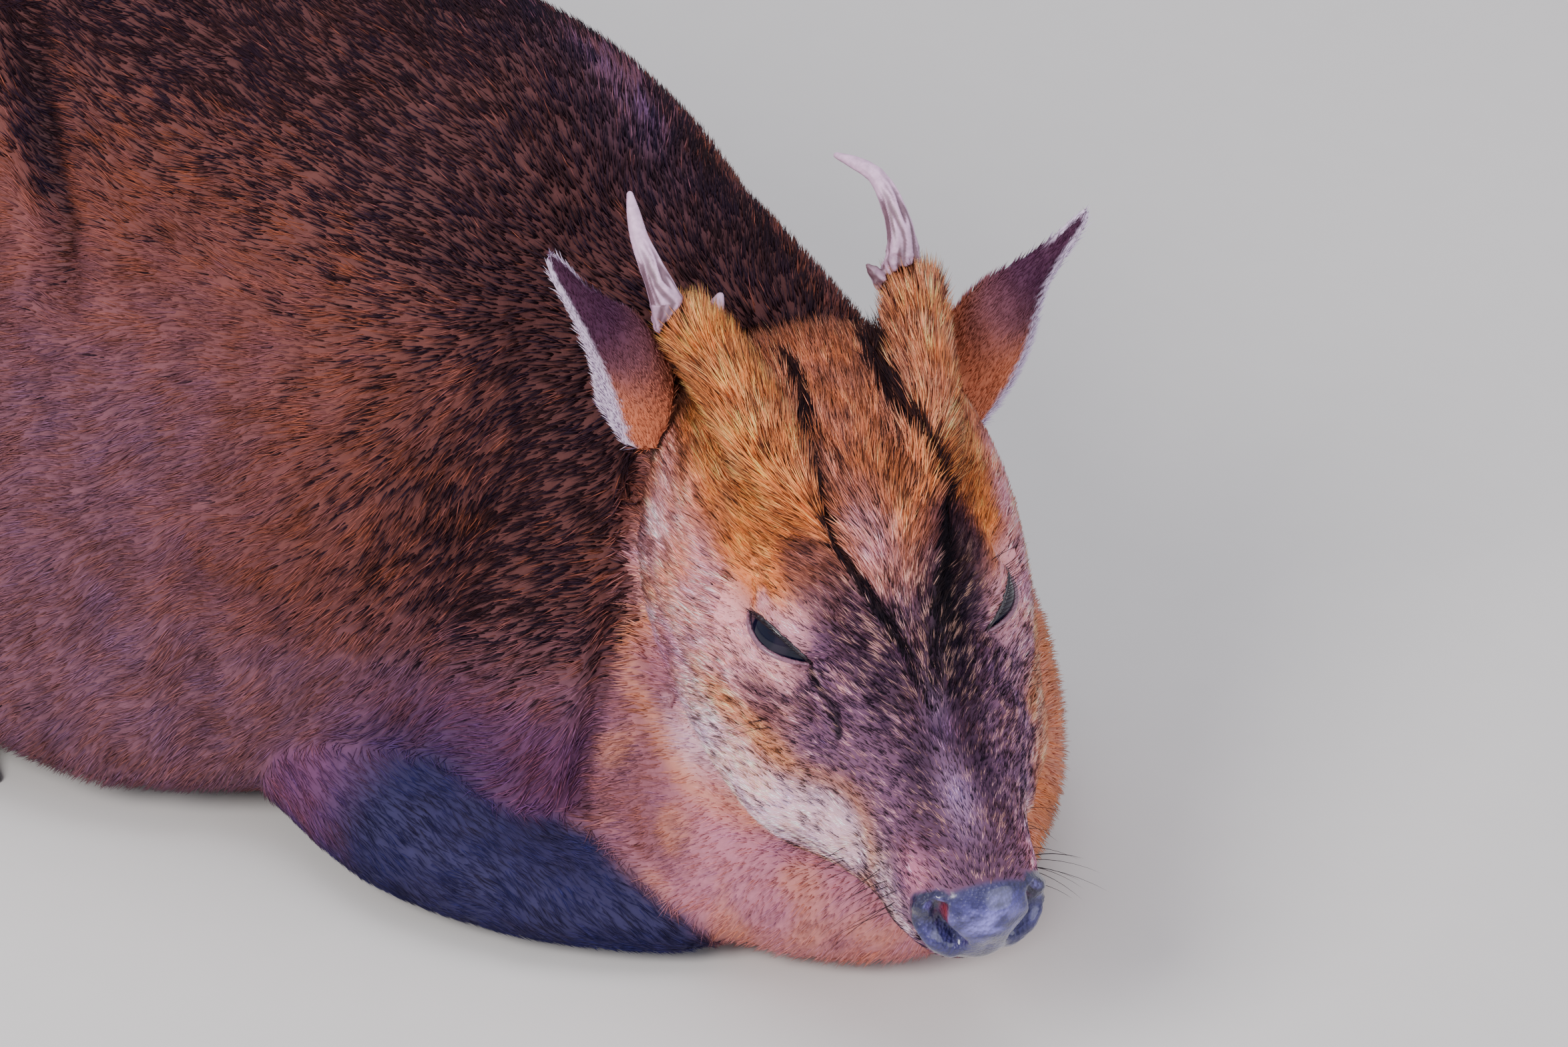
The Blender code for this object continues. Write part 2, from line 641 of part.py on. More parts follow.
def hoof(name, x, y, direction, split):
    """One half of a cloven hoof: wedge with a flat sole, pointed toe and sloping front."""
    toe = HOOF_LENGTH * direction
    stations = ((0.0, 0.75, 1.0), (0.35, 1.0, 0.92), (0.7, 0.8, 0.55), (1.0, 0.22, 0.16))
    rings = []
    for f, wide, tall in stations:
        half = HOOF_WIDTH * 0.5 * wide
        high = HOOF_HEIGHT * tall
        ring = []
        for across, up in ((-1, 0), (1, 0), (1, 0.55), (0.55, 1), (-0.55, 1), (-1, 0.55)):
            ring.append(Vector((x + toe * f, y + split + across * half, up * high)) * MM)
        rings.append(ring)
    return loft(name, rings)


def build_leg(word, side, parts, middle, heading, pivot, colour):
    """Fleshed parts of one leg, each cut clear of the one before it.

    Returns the grown copies of the whole parts, with which other nodes are cut.
    """
    cutters = []
    for part, keys in parts:
        placed = side_keys(keys, side, middle, heading, pivot)
        rings, sides = LIMB_GRID[part]
        solid = tube(part + "_" + word, placed, rings, sides, floor=True)
        grown = swell(solid, GAP)
        if cutters:
            combine(solid, [swell(cutters[-1], 0.0)], "DIFFERENCE")
        solid.data.materials.append(colour)
        cutters.append(grown)
    return cutters


def build_hooves(word, side, which, foot, direction, middle, heading, pivot, colour, cutter):
    turn = radians(heading)
    made = []
    for split, place_word in ((-HOOF_WIDTH * 0.56, "inner"), (HOOF_WIDTH * 0.56, "outer")):
        name = which + "_hoof_" + word + "_" + place_word
        piece = hoof(name, foot[0], foot[1], direction, split)
        for v in piece.data.vertices:
            along = v.co.x / MM - pivot[0]
            across = v.co.y / MM * side
            v.co.x = (pivot[0] + along * cos(turn) - across * sin(turn)) * MM
            v.co.y = (middle + along * sin(turn) + across * cos(turn)) * MM
        if side < 0:
            piece.data.flip_normals()
        grown = swell(piece, GAP)
        combine(piece, [swell(cutter, 0.0)], "DIFFERENCE")
        piece.data.materials.append(colour)
        made.append(grown)
    return made


TAIL = [(-546.0, -20.0, 164.0, 16.0, 13.0), (-571.0, -30.0, 150.0, 19.0, 11.0),
        (-585.0, -36.0, 122.0, 20.0, 9.0), (-587.0, -37.0, 88.0, 17.0, 8.0),
        (-582.0, -35.0, 58.0, 8.0, 5.0)]


def centre_on_floor():
    """Moves every solid so that the middle of the whole stands over the origin."""
    solids = [obj for obj in bpy.data.objects if obj.type == "MESH"]
    points = [v.co for obj in solids for v in obj.data.vertices]
    middle_x = (min(p.x for p in points) + max(p.x for p in points)) / 2
    middle_y = (min(p.y for p in points) + max(p.y for p in points)) / 2
    for obj in solids:
        obj.data.transform(Matrix.Translation(Vector((-middle_x, -middle_y, 0.0))))
    return Vector((-middle_x, -middle_y, 0.0))


def main():
    for obj in list(bpy.data.objects):
        bpy.data.objects.remove(obj)
    coat = material("coat", COAT, 0.9)
    flank = material("flank", FLANK, 0.9)
    face = material("face", FACE, 0.85)
    ear_brown = material("ear_brown", EAR_BROWN, 0.9)
    leg_dark = material("leg_dark", LEG_DARK, 0.85)
    horn = material("antler_bone", HORN, 0.5)
    hoof_black = material("hoof_black", HOOF_BLACK, 0.35)
    wet = material("eye_dark", EYE_DARK, 0.05)

    matrix = head_matrix()
    head, raw_head = build_head(matrix, face)
    build_eyes(matrix, wet)
    neck = build_trunk("neck", NECK_SECTIONS, NECK_FORMS, 16, BODY_SIDES)
    for side, word in ((1, "left"), (-1, "right")):
        build_ear(side, word, matrix, raw_head, neck, ear_brown)
        build_antler(side, word, matrix, horn)

    torso = build_trunk("torso", TORSO_SECTIONS, TRUNK_FORMS, 22, BODY_SIDES)
    tail = tube("tail", TAIL, 6, 8)
    grown_neck = swell(neck, GAP)
    grown_torso = swell(torso, GAP)

    straight = (BODY_MIDDLE, 0.0, (0.0, 0.0))
    turned = (PELVIS_MIDDLE, PELVIS_TURN, PELVIS_PIVOT)
    grown_limbs = []
    for side, word in ((1, "left"), (-1, "right")):
        parts = (("forearm", FOREARM), ("fore_cannon", FORE_CANNON))
        grown = build_leg(word, side, parts, *straight, leg_dark)
        grown_limbs += grown
        grown_limbs += build_hooves(word, side, "fore", FORE_FOOT, -1, *straight, hoof_black,
                                    grown[-1])
        parts = (("shank", SHANK), ("hind_cannon", HIND_CANNON))
        grown = build_leg(word, side, parts, *turned, leg_dark)
        grown_limbs += grown
        grown_limbs += build_hooves(word, side, "hind", HIND_FOOT, 1, *turned, hoof_black,
                                    grown[-1])

    combine(neck, [swell(raw_head, GAP)], "DIFFERENCE")
    for grown in grown_limbs:
        combine(neck, [swell(grown, 0.0)], "DIFFERENCE")
        combine(torso, [grown], "DIFFERENCE")
    combine(torso, [grown_neck], "DIFFERENCE")
    combine(tail, [grown_torso], "DIFFERENCE")
    neck.data.materials.append(flank)
    torso.data.materials.append(coat)
    tail.data.materials.append(coat)
    bpy.data.objects.remove(raw_head)
    return centre_on_floor()


SHIFT = main()
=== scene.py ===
"""Looks of a life-size male Reeves's muntjac lying with its head lowered.

One skin covers the fleshed solids of the frame, and solid tufts of coat grow from it.
Places on the head are millimetres in the head's own frame: x along the face towards the
nose, y to the animal's left, z out of the forehead, from the upper edge of the nose pad.
Places on the body are millimetres from the floor under that same edge, x to the front.
"""

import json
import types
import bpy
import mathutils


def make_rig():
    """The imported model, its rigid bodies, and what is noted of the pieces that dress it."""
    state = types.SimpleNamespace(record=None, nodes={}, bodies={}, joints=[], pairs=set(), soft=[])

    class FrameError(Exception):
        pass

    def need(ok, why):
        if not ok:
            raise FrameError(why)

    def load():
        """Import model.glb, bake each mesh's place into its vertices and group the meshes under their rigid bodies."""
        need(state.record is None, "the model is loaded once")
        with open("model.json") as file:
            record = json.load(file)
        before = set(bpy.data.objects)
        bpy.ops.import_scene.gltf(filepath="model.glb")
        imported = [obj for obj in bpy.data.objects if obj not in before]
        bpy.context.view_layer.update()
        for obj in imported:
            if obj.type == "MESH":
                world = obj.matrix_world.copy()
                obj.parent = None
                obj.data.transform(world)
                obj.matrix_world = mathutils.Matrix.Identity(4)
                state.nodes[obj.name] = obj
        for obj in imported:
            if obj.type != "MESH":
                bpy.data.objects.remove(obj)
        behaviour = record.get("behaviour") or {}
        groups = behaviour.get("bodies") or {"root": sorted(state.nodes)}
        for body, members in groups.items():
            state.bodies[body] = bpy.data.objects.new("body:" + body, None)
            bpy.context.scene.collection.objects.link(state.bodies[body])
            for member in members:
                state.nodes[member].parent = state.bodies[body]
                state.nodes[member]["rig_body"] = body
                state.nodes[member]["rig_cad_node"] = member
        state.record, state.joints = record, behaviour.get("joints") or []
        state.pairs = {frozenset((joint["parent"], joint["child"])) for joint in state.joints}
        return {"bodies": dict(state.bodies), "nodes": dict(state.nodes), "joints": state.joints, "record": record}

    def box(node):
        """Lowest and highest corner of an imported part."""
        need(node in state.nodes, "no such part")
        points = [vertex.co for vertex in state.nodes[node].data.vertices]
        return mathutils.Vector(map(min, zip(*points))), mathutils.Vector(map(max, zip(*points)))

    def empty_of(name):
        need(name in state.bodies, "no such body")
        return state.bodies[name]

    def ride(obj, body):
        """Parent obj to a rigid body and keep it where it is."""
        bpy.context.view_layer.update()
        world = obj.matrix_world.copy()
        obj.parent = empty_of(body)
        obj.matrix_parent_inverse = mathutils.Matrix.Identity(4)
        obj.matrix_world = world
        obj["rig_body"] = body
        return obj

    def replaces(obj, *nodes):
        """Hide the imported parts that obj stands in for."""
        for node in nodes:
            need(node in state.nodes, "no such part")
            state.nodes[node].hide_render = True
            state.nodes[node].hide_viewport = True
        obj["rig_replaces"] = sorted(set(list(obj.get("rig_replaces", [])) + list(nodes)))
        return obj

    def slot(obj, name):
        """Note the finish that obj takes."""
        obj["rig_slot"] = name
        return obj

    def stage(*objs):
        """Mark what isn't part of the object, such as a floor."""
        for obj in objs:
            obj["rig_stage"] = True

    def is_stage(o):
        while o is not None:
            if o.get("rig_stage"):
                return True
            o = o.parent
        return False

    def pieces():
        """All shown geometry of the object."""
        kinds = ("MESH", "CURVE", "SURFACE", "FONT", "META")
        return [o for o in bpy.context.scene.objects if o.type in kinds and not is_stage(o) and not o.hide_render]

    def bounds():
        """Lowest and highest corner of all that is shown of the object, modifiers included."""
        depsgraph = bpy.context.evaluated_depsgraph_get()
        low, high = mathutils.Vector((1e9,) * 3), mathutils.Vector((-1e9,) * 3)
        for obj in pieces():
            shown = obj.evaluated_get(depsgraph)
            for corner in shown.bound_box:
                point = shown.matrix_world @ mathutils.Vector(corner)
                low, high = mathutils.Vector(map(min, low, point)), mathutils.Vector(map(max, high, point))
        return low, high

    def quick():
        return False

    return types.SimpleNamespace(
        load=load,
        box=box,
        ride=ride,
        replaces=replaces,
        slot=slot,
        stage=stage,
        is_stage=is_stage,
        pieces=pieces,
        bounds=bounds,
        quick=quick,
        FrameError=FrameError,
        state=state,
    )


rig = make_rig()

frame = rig.load()

import json
from math import asin, cos, pi, radians, sin

import bmesh
import bpy
import numpy as np
from bpy.props import FloatProperty, FloatVectorProperty, IntProperty, PointerProperty
from mathutils import Matrix, Vector, noise
from mathutils.bvhtree import BVHTree

bl_info = {
    "name": "Lying muntjac",
    "version": (1, 0, 0),
    "blender": (4, 5, 0),
    "location": "3D View > Sidebar > Muntjac",
    "description": "Skin, coat, horn and eyes of a lying muntjac over its solid model",
    "category": "Object",
}

MM = 0.001
SIDES = (("left", 1.0), ("right", -1.0))

# How the head lies, and where its eyes are in its own frame: the same as in the solids.
HEAD_TURN = -26.7
HEAD_DROP = 26.5
HEAD_TILT = -1.35
EYE_PLACE = (-95.0, 25.0, -13.7)
INNER_CANTHUS = (-81.7, 25.1, -8.8)
OUTER_CANTHUS = (-103.9, 36.0, -12.7)
EYE_RADIUS = 14.2
UPPER_LID = 4.9
LOWER_LID = 1.9
LID_DEPTH = 0.7
PEDICLE_ROOT = (-128.0, 19.0, 6.0)
PEDICLE_TIP = (-186.0, 33.5, 7.0)
EAR_ROOT = (-170.0, 47.0, -9.0)
EAR_TIPS = {"left": (-183.2, 78.3, 39.9), "right": (-198.1, 76.1, 38.5)}
EAR_BACK = (0.69, -0.45, 0.565)

FLESH = ["head", "neck", "torso", "tail"] + [
    limb + "_" + side for limb in ("forearm", "fore_cannon", "shank", "hind_cannon")
    for side, _ in SIDES]
EYES = ["eye_left", "eye_right"]
HOOVES = [pair + "_hoof_" + side + "_" + claw for pair in ("fore", "hind")
          for side, _ in SIDES for claw in ("inner", "outer")]

# Camera: where it looks from, and the photo's perspective.
CAMERA_AZIMUTH = 45.0
CAMERA_HEIGHT = 35.0
CAMERA_OFFSET = (56.3, -100.3, -1979.0)
FOCAL_LENGTH = 165.7


def head_frame():
    """Matrix from the head's own millimetres to the row frame, placed by the eyes."""
    yaw, pitch, roll = radians(HEAD_TURN), radians(HEAD_DROP), radians(HEAD_TILT)
    along = Vector((cos(pitch) * cos(yaw), cos(pitch) * sin(yaw), -sin(pitch)))
    level = Vector((-sin(yaw), cos(yaw), 0.0))
    left = level * cos(roll) + along.cross(level) * sin(roll)
    turn = Matrix((along, left, along.cross(left))).transposed()
    middles = []
    for side, _ in SIDES:
        low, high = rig.box("eye_" + side)
        middles.append((Vector(low) + Vector(high)) / 2)
    between = Vector((EYE_PLACE[0], 0.0, EYE_PLACE[2])) * MM
    place = (middles[0] + middles[1]) / 2 - turn @ between
    return Matrix.Translation(place) @ turn.to_4x4() @ Matrix.Scale(MM, 4)


HEAD = head_frame()
FROM_HEAD = np.array(HEAD)
TO_HEAD = np.linalg.inv(FROM_HEAD)
FLOOR_POINT = np.array([HEAD.translation.x, HEAD.translation.y, 0.0])


def in_head(points):
    return points @ TO_HEAD[:3, :3].T + TO_HEAD[:3, 3]


def in_body(points):
    return (points - FLOOR_POINT) / MM


def head_way(vectors):
    """Directions written in the head's frame, turned to the row frame."""
    turned = vectors @ (FROM_HEAD[:3, :3].T / MM)
    return turned


def on_side(point, side):
    return np.array([point[0], point[1] * side, point[2]])


def ramp(values, low, high):
    """Smooth step from 0 at low to 1 at high, or the other way round."""
    t = np.clip((values - low) / (high - low), 0.0, 1.0)
    return t * t * (3 - 2 * t)


def along_line(points, start, end):
    """Distance to a straight stretch, and how far along it the nearest place is."""
    start, end = np.asarray(start, float), np.asarray(end, float)
    run = end - start
    t = np.clip((points - start) @ run / (run @ run), 0.0, 1.0)
    return np.linalg.norm(points - (start + t[:, None] * run), axis=1), t


def blot(points, centre, radius):
    """Soft round patch, 1 in the middle."""
    spread = np.linalg.norm((points - np.asarray(centre, float)) / np.asarray(radius, float), axis=1)
    return np.exp(-spread * spread)


def cloud(points, size, seed=0.0):
    """Soft noise of about -1 to 1, with patches of the given size, on points in metres."""
    scaled = points / size + seed
    return np.array([noise.noise(Vector(p)) for p in scaled.tolist()]) * 1.6


def unit(vectors):
    return vectors / np.maximum(np.linalg.norm(vectors, axis=1, keepdims=True), 1e-9)


# Base colours of the coat and skin, and of painted highlight, sheen and shade

PAINT = {
    "coat_orange": (0.245, 0.074, 0.056),
    "fleck": (0.008, 0.005, 0.014),
    "flank_mauve": (0.235, 0.098, 0.135),
    # dark of the nape, also painted as shade into the folds of the flank and throat
    "nape_and_fold_shade": (0.010, 0.003, 0.006),
    "chest": (0.195, 0.066, 0.150),
    "belly": (0.215, 0.084, 0.110),
    "forehead": (0.600, 0.190, 0.100),
    "pedicle": (1.000, 0.300, 0.095),
    "blush": (0.760, 0.370, 0.480),
    "rosy": (0.950, 0.330, 0.480),
    "cheek": (1.000, 0.440, 0.480),
    "cheek_orange": (0.800, 0.310, 0.160),
    "jaw_white": (1.000, 0.640, 0.720),
    "muzzle": (0.265, 0.115, 0.205),
    "bridge": (0.060, 0.020, 0.052),
    "face_dark": (0.080, 0.030, 0.056),
    "stripe": (0.006, 0.003, 0.007),
    "throat": (0.590, 0.228, 0.300),
    # dark legs with a painted blue sky sheen; also painted shade where the chest meets the foreleg
    "leg_with_sky_sheen_and_shade": (0.031, 0.026, 0.086),
    "shank": (0.052, 0.030, 0.040),
    "tail_brown": (0.230, 0.080, 0.045),
    "tail_white": (0.700, 0.620, 0.580),
    "ear_brown": (0.245, 0.088, 0.100),
    "ear_dark": (0.080, 0.024, 0.060),
    "ear_rim": (0.720, 0.580, 0.760),
    "ear_inside": (0.260, 0.190, 0.320),
    "nose": (0.034, 0.030, 0.140),
    # painted highlight of the wet nose pad
    "nose_painted_highlight": (0.300, 0.270, 0.800),
    "lilac": (0.560, 0.320, 0.560),
    "tan_tip": (0.860, 0.500, 0.340),
    # painted sheen along the top of the back
    "ridge": (0.200, 0.100, 0.200),
    "nose_dark": (0.012, 0.011, 0.035),
    "nostril": (0.220, 0.025, 0.045),
    "lid": (0.780, 0.350, 0.420),
    "ivory": (0.630, 0.400, 0.570),
    "groove": (0.100, 0.045, 0.055),
}


def paint(name):
    return np.array(PAINT[name])


def mixed(colour, name, amount):
    amount = np.clip(amount, 0.0, 1.0)[:, None]
    return colour * (1 - amount) + paint(name) * amount


# Lines on the head, drawn on the animal's left and mirrored unless they say otherwise.
STRIPES = {
    "right": ((-56, 0.5), (-73, 3.0), (-84, 6.0), (-94, 10.0), (-105, 13.0), (-129, 12.7),
              (-140, 12.5), (-152, 10.0), (-168, 10.0)),
    "left": ((-56, 1.0), (-75, 7.0), (-90, 12.5), (-103, 17.0), (-114, 21.0), (-126, 20.5),
             (-142, 17.0), (-156, 14.5), (-170, 16.5)),
}
TEAR_LINE = ((-80.0, 25.5, -9.5), (-72.5, 26.0, -7.0), (-66.6, 24.0, -6.5), (-58.6, 24.0, -9.5))
NOSTRIL_RIM = ((-1.0, 13.8, -4.4), (-3.5, 17.6, -10.0), (-1.5, 17.0, -14.0), (3.7, 14.6, -17.5),
               (6.6, 8.6, -22.5))
NOSTRIL_SLIT = ((0.0, 13.4, -6.4), (2.6, 13.0, -10.5), (6.8, 8.8, -15.5))
JAW_BAND = ((-112.0, 54.0, -50.0), (-86.0, 50.0, -50.0), (-57.0, 40.0, -44.0), (-38.0, 29.5, -29.0))
BAG_FOLD = ((-84.0, 41.0, -18.0), (-75.5, 36.0, -14.5), (-70.5, 30.5, -10.5))
CHEEK_PATCH = ((-90.0, 49.0, -29.0), (-75.0, 43.5, -26.0), (-62.0, 38.0, -23.0))
# Whiskers on one side: place, spread around it, way they point, length and number.
WHISKERS = (((-14.0, 22.0, -20.0), (14.0, 4.0, 7.0), (0.05, 0.8, -0.35), 24.0, 9),
            ((-32.0, 27.0, -33.0), (10.0, 4.0, 8.0), (-0.1, 0.75, -0.5), 17.0, 5),
            ((-72.0, 37.0, -22.0), (8.0, 3.0, 4.0), (-0.2, 0.8, -0.2), 15.0, 3),
            ((-100.0, 33.0, 3.0), (8.0, 3.0, 3.0), (-0.3, 0.6, 0.7), 13.0, 3))
MOUTH = ((-2.0, 19.0, -23.5), (-20.0, 24.0, -27.0), (-34.0, 27.5, -29.0))


def fold_over(head):
    """Places with the right half mirrored on the left."""
    return head * [1, 0, 1] + np.abs(head * [0, 1, 0])


def along_path(points, path):
    """Distance to a line of several stretches, and the share of it that lies behind."""
    best, run = np.full(len(points), 1e9), np.zeros(len(points))
    for i, (start, end) in enumerate(zip(path, path[1:])):
        away, t = along_line(points, start, end)
        nearer = away < best
        best = np.where(nearer, away, best)
        run = np.where(nearer, (i + t) / (len(path) - 1), run)
    return best, run


def bare_nose(head):
    """1 on the wet nose pad and the rims of the nostrils."""
    x, y, z = head.T
    pad = ramp(x, -2.8, -0.6) * ramp(z, -27.5, -25.0) * ramp(np.abs(y), 15.0, 12.5)
    rim = ramp(along_path(fold_over(head), NOSTRIL_RIM)[0], 4.2, 3.2)
    return np.clip(np.maximum(pad, rim), 0, 1)


def stripe_paint(head):
    """1 on the two black stripes that run from the bridge of the nose up the pedicles."""
    x, y, z = head.T
    found = np.zeros(len(head))
    for side, sign in SIDES:
        away, run = along_path(np.stack([x, y * sign], axis=1), STRIPES[side])
        wide = 2.1 - 0.7 * ramp(run, 0.3, 0.55) + (1.6 if side == "left" else 0.4) * ramp(run, 0.6, 0.9)
        ragged = away / wide + 0.4 * cloud(head, 3.0, 1.0)
        found = np.maximum(found, ramp(ragged, 1.45, 0.8) * ramp(z, -16.0, -8.0)
                           * (0.35 + 0.65 * ramp(run, 0.03, 0.22)))
    return found


def head_markings(head):
    """Colour of the head's coat at places in the head's frame."""
    x, y, z = head.T
    folded = fold_over(head)
    side = np.abs(y)
    left = ramp(y, -2.0, 4.0)
    colour = np.tile(paint("cheek"), (len(head), 1))
    brown = ramp(x, -100.0, -84.0) * ramp(side - 0.28 * (x + 60.0), 42.0, 30.0)
    colour = mixed(colour, "muzzle", brown)
    aside = side - 0.9 * np.minimum(z + 6.0, 0) + 0.15 * (x + 128.0)
    crown = ramp(x, -86.0, -104.0) * ramp(aside, 55.0, 37.0)
    colour = mixed(colour, "forehead", crown)
    bright = ramp(along_line(folded, (-104.0, 27.0, 4.0), PEDICLE_TIP)[0], 19.0, 11.0)
    colour = mixed(colour, "pedicle", bright * ramp(x, -92.0, -106.0))
    # Painted light: the left pedicle made paler towards its tip, to lift the shade it lies in.
    colour = mixed(colour, "cheek", 0.15 * bright * left * ramp(x, -120.0, -140.0))
    middle = ramp(side, 12.0, 4.0)
    colour = mixed(colour, "forehead", middle * ramp(x, -84.0, -96.0))
    colour = mixed(colour, "blush", 0.8 * blot(head, (-108.0, -3.0, 10.0), (9.0, 6.0, 12.0)))
    colour = mixed(colour, "pedicle", 0.6 * blot(head, (-112.0, 9.5, 11.0), (16.0, 5.0, 12.0)))
    colour = mixed(colour, "blush", 0.5 * blot(head, (-84.0, 1.5, 8.0), (10.0, 4.0, 12.0)))
    beside = along_line(folded, (-104.0, 21.0, 5.0), (-64.0, 9.0, 5.0))[0]
    colour = mixed(colour, "face_dark", (0.75 + 0.2 * left) * ramp(beside, 12.0 + 5.0 * left, 5.5 + 1.5 * left))
    colour = mixed(colour, "stripe", 0.65 * left * ramp(beside, 11.0, 4.0))
    colour = mixed(colour, "face_dark", 0.5 * middle * ramp(x, -100.0, -84.0))
    colour = mixed(colour, "bridge", 0.45 * blot(head, (-54.0, 2.0, 6.0), (18.0, 11.0, 14.0)))
    colour = mixed(colour, "bridge", 0.9 * blot(folded, (-43.0, 8.5, 2.0), (12.0, 4.2, 9.0)))
    colour = mixed(colour, "bridge", 0.6 * blot(folded, (-60.0, 13.0, 2.0), (12.0, 4.5, 9.0)))
    colour = mixed(colour, "bridge", 0.95 * blot(head, (-47.0, 2.0, 3.0), (7.5, 9.0, 8.0)))
    colour = mixed(colour, "lilac", 0.65 * blot(head, (-28.0, -1.5, 3.0), (12.0, 5.0, 8.0)))
    colour = mixed(colour, "lilac", 0.3 * blot(head, (-56.0, 0.5, 4.0), (6.0, 3.0, 8.0)))
    flank = along_line(folded, (-40.0, 9.0, 2.0), (-18.0, 11.0, 0.0))[0]
    colour = mixed(colour, "bridge", 0.6 * ramp(flank, 7.0, 2.0))
    colour = mixed(colour, "rosy", 0.8 * blot(folded, (-12.0, 17.5, -7.0), (6.0, 5.0, 6.0)))
    colour = mixed(colour, "jaw_white", 0.85 * blot(folded, (-20.0, 23.0, -21.0), (14.0, 7.0, 7.0)))
    colour = mixed(colour, "cheek", 0.45 * blot(folded, (-77.0, 33.0, -14.0), (8.0, 5.0, 5.0)))
    low = ramp(z + 0.18 * (x + 50.0), -40.0, -56.0) * ramp(x, -134.0, -108.0)
    colour = mixed(colour, "throat", low * ramp(x, -8.0, -30.0))
    colour = mixed(colour, "muzzle", 0.8 * blot(folded, (-72.0, 41.0, -21.0), (13.0, 9.0, 6.5)))
    colour = mixed(colour, "coat_orange", 0.75 * blot(head, (-75.0, -38.0, -20.0), (9.0, 7.0, 6.0)))
    colour = mixed(colour, "face_dark", 0.6 * ramp(along_path(folded, BAG_FOLD)[0], 4.0, 1.0))
    patch = along_path(folded, CHEEK_PATCH)[0]
    colour = mixed(colour, "cheek_orange", 0.85 * ramp(patch, 6.0, 2.0))
    colour = mixed(colour, "jaw_white", 0.9 * ramp(along_path(folded, MOUTH)[0], 4.0, 1.8) * ramp(x, -16.0, -8.0))
    colour = mixed(colour, "lid", 0.85 * ramp(along_line(folded, (-101.0, 34.0, -4.5), (-84.0, 29.5, -2.0))[0],
                                              4.6, 2.2))
    colour = mixed(colour, "lid", 0.45 * blot(folded, (-88.0, 34.0, -17.0), (10.0, 5.0, 5.0)))
    colour = mixed(colour, "pedicle", 0.30 * upper_cheek(head))
    ear_foot = blot(folded, np.array(EAR_ROOT) + [14.0, 4.0, -8.0], (18.0, 14.0, 14.0))
    colour = mixed(colour, "cheek_orange", 0.55 * ear_foot)
    colour = mixed(colour, "lilac", 0.4 * blot(head, (-76.0, 38.0, -14.0), (13.0, 9.0, 10.0)))
    tear = along_path(folded, TEAR_LINE)[0]
    colour = mixed(colour, "stripe", 0.85 * ramp(tear, 1.9, 0.8))
    rear = ramp(x, -142.0, -158.0) * ramp(z, -18.0, -34.0)
    colour = mixed(colour, "coat_orange", rear)
    for wart in ((-80.8, -1.3, 7.2), (-72.1, -0.8, 6.0), (-62.2, 1.3, 4.8)):
        colour = mixed(colour, "stripe", 0.8 * blot(head, wart, (1.6, 1.4, 6.0)))
    poll = ramp(x, -182.0, -192.0) * ramp(side, 30.0, 18.0)
    return mixed(colour, "nape_and_fold_shade", 0.9 * poll)


def upper_cheek(head):
    """1 on the pale upper part of both cheeks."""
    return blot(fold_over(head), (-128.0, 50.0, -22.0), (18.0, 16.0, 15.0))


def limb_markings(body):
    """Dark legs with a painted blue sky sheen, browner towards the elbow and the stifle."""
    x, y, z = body.T
    colour = np.tile(paint("leg_with_sky_sheen_and_shade"), (len(body), 1))
    colour = mixed(colour, "shank", ramp(x, -270.0, -310.0))
    elbow = ramp(x, -190.0, -222.0) * ramp(z, 6.0, 24.0) * ramp(x, -275.0, -250.0)
    return mixed(colour, "chest", 0.85 * np.clip(elbow, 0, 1))


# Line through the middle of the tail: height, and place along the body
TAIL_LINE = ((60.0, 100.0, 130.0, 150.0, 170.0), (-585.0, -587.0, -580.0, -571.0, -557.0))


def tail_markings(body):
    """Brown on its outer side, and white on the side that lies against the rump."""
    colour = np.tile(paint("tail_brown"), (len(body), 1))
    inner = body[:, 0] - np.interp(body[:, 2], *TAIL_LINE)
    return mixed(colour, "tail_white", ramp(inner, 2.0, 8.0))


def coat_paint(head, body, part):
    """Colour of the coat, and how much of it is dark, over head, trunk, limbs and tail."""
    colour = part[:, :1] * head_markings(head) + part[:, 1:2] * body_markings(body)
    colour += part[:, 2:3] * limb_markings(body) + part[:, 3:4] * tail_markings(body)
    colour = jaw_markings(colour, head, part[:, 0] + part[:, 1])
    dark = part[:, 0] * face_grizzle(head) + part[:, 1] * dark_share(body) + 0.15 * part[:, 3]
    return colour, dark


def jaw_markings(colour, head, flesh):
    """Creamy band along the right jaw, and the tawny far side of the left one."""
    x, y, z = head.T
    band, run = along_path(fold_over(head), JAW_BAND)
    colour = mixed(colour, "jaw_white", 0.8 * ramp(band, 19.0, 9.0) * ramp(run, 0.0, 0.35) * flesh
                   * ramp(y, 8.0, -8.0))
    colour = mixed(colour, "cheek_orange", 0.5 * ramp(np.abs(band - 17.0), 5.0, 0.0) * flesh * ramp(y, 8.0, -8.0))
    return mixed(colour, "cheek_orange", 0.85 * far_jaw(head) * flesh)


def far_jaw(head):
    """1 on the left side of the jaw."""
    x, y, z = head.T
    return ramp(y, 20.0, 30.0) * ramp(z, -22.0, -34.0) * ramp(x, -132.0, -114.0) * ramp(x, -16.0, -32.0)


def face_grizzle(head):
    """Share of dark hairs in the face's coat."""
    x, y, z = head.T
    side = np.abs(y)
    share = 0.16 - 0.12 * upper_cheek(head) + 0.34 * ramp(x, -96.0, -78.0) * ramp(side, 46.0, 30.0)
    share += 0.20 * blot(head, (-122.0, 2.0, 12.0), (26.0, 13.0, 20.0))
    band = along_path(fold_over(head), JAW_BAND)[0]
    return share * ramp(band, 5.0, 14.0)


